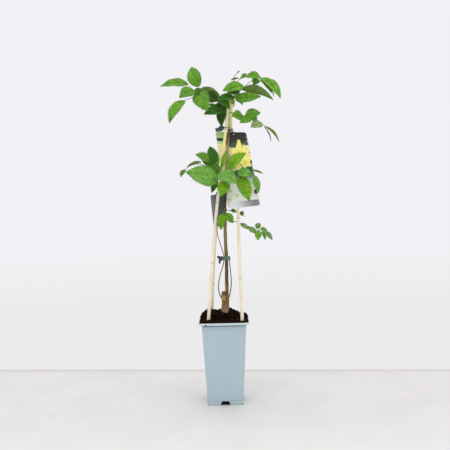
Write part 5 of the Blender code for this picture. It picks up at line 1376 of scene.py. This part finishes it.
class VINE_OT_cards(bpy.types.Operator):
    """Makes the picture label, its wire and the care card"""
    bl_idname = "vine.cards"
    bl_label = "Cards"

    def execute(self, context):
        label = card_surface(label_place, LABEL_WIDE, LABEL_HIGH, LABEL_ROUND, 24, 56)
        printed = piece("label_printed", label, printed_card(), ["label_card"])
        across, up = LABEL_HOLE
        through = np.array([label_place(across, up, back) for back in (-4.0, 0.0, 4.0)])
        drill(printed, [through], LABEL_HOLE_RADIUS)
        hook = [label_place(across + x, up + y, back) for x, y, back in WIRE_HOOK]
        wire = path_through([*WIRE_FRONT, *hook, *WIRE_BACK], 0.7)
        piece("label_wire_bent", tube(wire, WIRE_RADIUS, 12), coated_wire(), ["label_wire"])
        card = card_surface(card_place, CARD_WIDE, CARD_HIGH, CARD_ROUND, 16, 30)
        x, y, _ = cane_at("cane_back_left", CARD_STRAP_Z)
        top = [card_place(0.0, CARD_HIGH / 2 + off, 0.0) for off in (-5, -1, 2)]
        strap = flat_strap([*top, (x - 1, y - STRAP_RADIUS - 0.2, CARD_STRAP_Z)])
        piece("care_card_slate", together([card, strap, strap_loop(x, y)]),
              dark_card(context.scene.vine_card), ["care_card"])
        return {"FINISHED"}


class VINE_OT_leaves(bpy.types.Operator):
    """Makes every compound leaf and the growing tip"""
    bl_idname = "vine.leaves"
    bl_label = "Leaves"

    def execute(self, context):
        settings = context.scene.vine_leaf
        material = waxy_leaf(settings)
        for name in LEAVES:
            piece(name + "_grown", leaf_surface(name, settings), material, [name], 50)
        return {"FINISHED"}


class VINE_OT_stage(bpy.types.Operator):
    """Makes the pale floor, the soft light and the camera"""
    bl_idname = "vine.stage"
    bl_label = "Stage"

    def execute(self, context):
        scene, settings = context.scene, context.scene.vine_stage
        mesh = bpy.data.meshes.new("floor")
        left, right = (settings.floor_end - x * FLOOR_SLANT for x in (-5, 5))
        mesh.from_pydata([(-5, -6, 0), (5, -6, 0), (5, right, 0), (-5, left, 0)], [], [(0, 1, 2, 3)])
        mesh.materials.append(painted_floor(settings))
        world = bpy.data.worlds.new("soft_room")
        world.use_nodes = True
        tree = world.node_tree
        rise = add(tree, "SeparateXYZ", add(tree, "TexCoord", out="Generated"), out=2)
        wall = add(tree, "Mix", add(tree, "MapRange", rise, -0.02, -0.16), settings.backdrop_colour,
                   settings.backdrop_low_colour)
        fill(tree, tree.nodes["Background"].inputs[0], wall)
        scene.world = world
        camera = bpy.data.cameras.new("camera")
        camera.lens, camera.sensor_width = settings.lens, 36
        turn = Matrix.Rotation(math.radians(90), 4, "X") @ Matrix.Rotation(math.radians(CAMERA_ROLL), 4, "Z")
        floor, scene.camera = (bpy.data.objects.new(data.name, data) for data in (mesh, camera))
        scene.camera.matrix_world = Matrix.Translation(CAMERA_PLACE) @ turn
        things = [floor, scene.camera]
        for name, spot, size, share in LAMPS:
            light = bpy.data.lights.new(name, "AREA")
            light.shape, light.size, light.energy = "SQUARE", size, settings.key_power * share
            lamp = bpy.data.objects.new(name, light)
            toward = Vector(LAMP_AIM) - Vector(spot)
            lamp.rotation_euler = toward.to_track_quat("-Z", "Y").to_euler()
            lamp.location = spot
            things.append(lamp)
        for thing in things:
            scene.collection.objects.link(thing)
        scene.view_settings.view_transform = "Standard"
        return {"FINISHED"}


class VINE_PT_panel(bpy.types.Panel):
    """Lists the settings and the pieces"""
    bl_idname = "VINE_PT_panel"
    bl_label = "Potted trumpet vine"
    bl_space_type = "VIEW_3D"
    bl_region_type = "UI"
    bl_category = "Vine"

    def draw(self, context):
        for group in GROUPS:
            box = self.layout.box()
            settings = getattr(context.scene, group)
            for name in settings.bl_rna.properties.keys():
                if name not in ("rna_type", "name"):
                    box.prop(settings, name)
        for operator in OPERATORS:
            self.layout.operator(operator.bl_idname)


GROUPS = {"vine_pot": VinePotSettings, "vine_wood": VineWoodSettings, "vine_card": VineCardSettings,
          "vine_leaf": VineLeafSettings, "vine_stage": VineStageSettings}
OPERATORS = (VINE_OT_pot, VINE_OT_soil, VINE_OT_canes, VINE_OT_stem, VINE_OT_ties, VINE_OT_cards,
             VINE_OT_leaves, VINE_OT_stage)


def register():
    """Makes the settings, operators and panel known to Blender."""
    for name, group in GROUPS.items():
        bpy.utils.register_class(group)
        setattr(bpy.types.Scene, name, bpy.props.PointerProperty(type=group))
    for kind in (*OPERATORS, VINE_PT_panel):
        bpy.utils.register_class(kind)


def unregister():
    """Undoes register."""
    for kind in (VINE_PT_panel, *OPERATORS[::-1]):
        bpy.utils.unregister_class(kind)
    for name, group in GROUPS.items():
        delattr(bpy.types.Scene, name)
        bpy.utils.unregister_class(group)


def main():
    """Dresses the part."""
    register()
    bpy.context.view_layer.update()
    for operator in OPERATORS:
        group, name = operator.bl_idname.split(".")
        getattr(getattr(bpy.ops, group), name)()


if __name__ == "__main__":
    main()
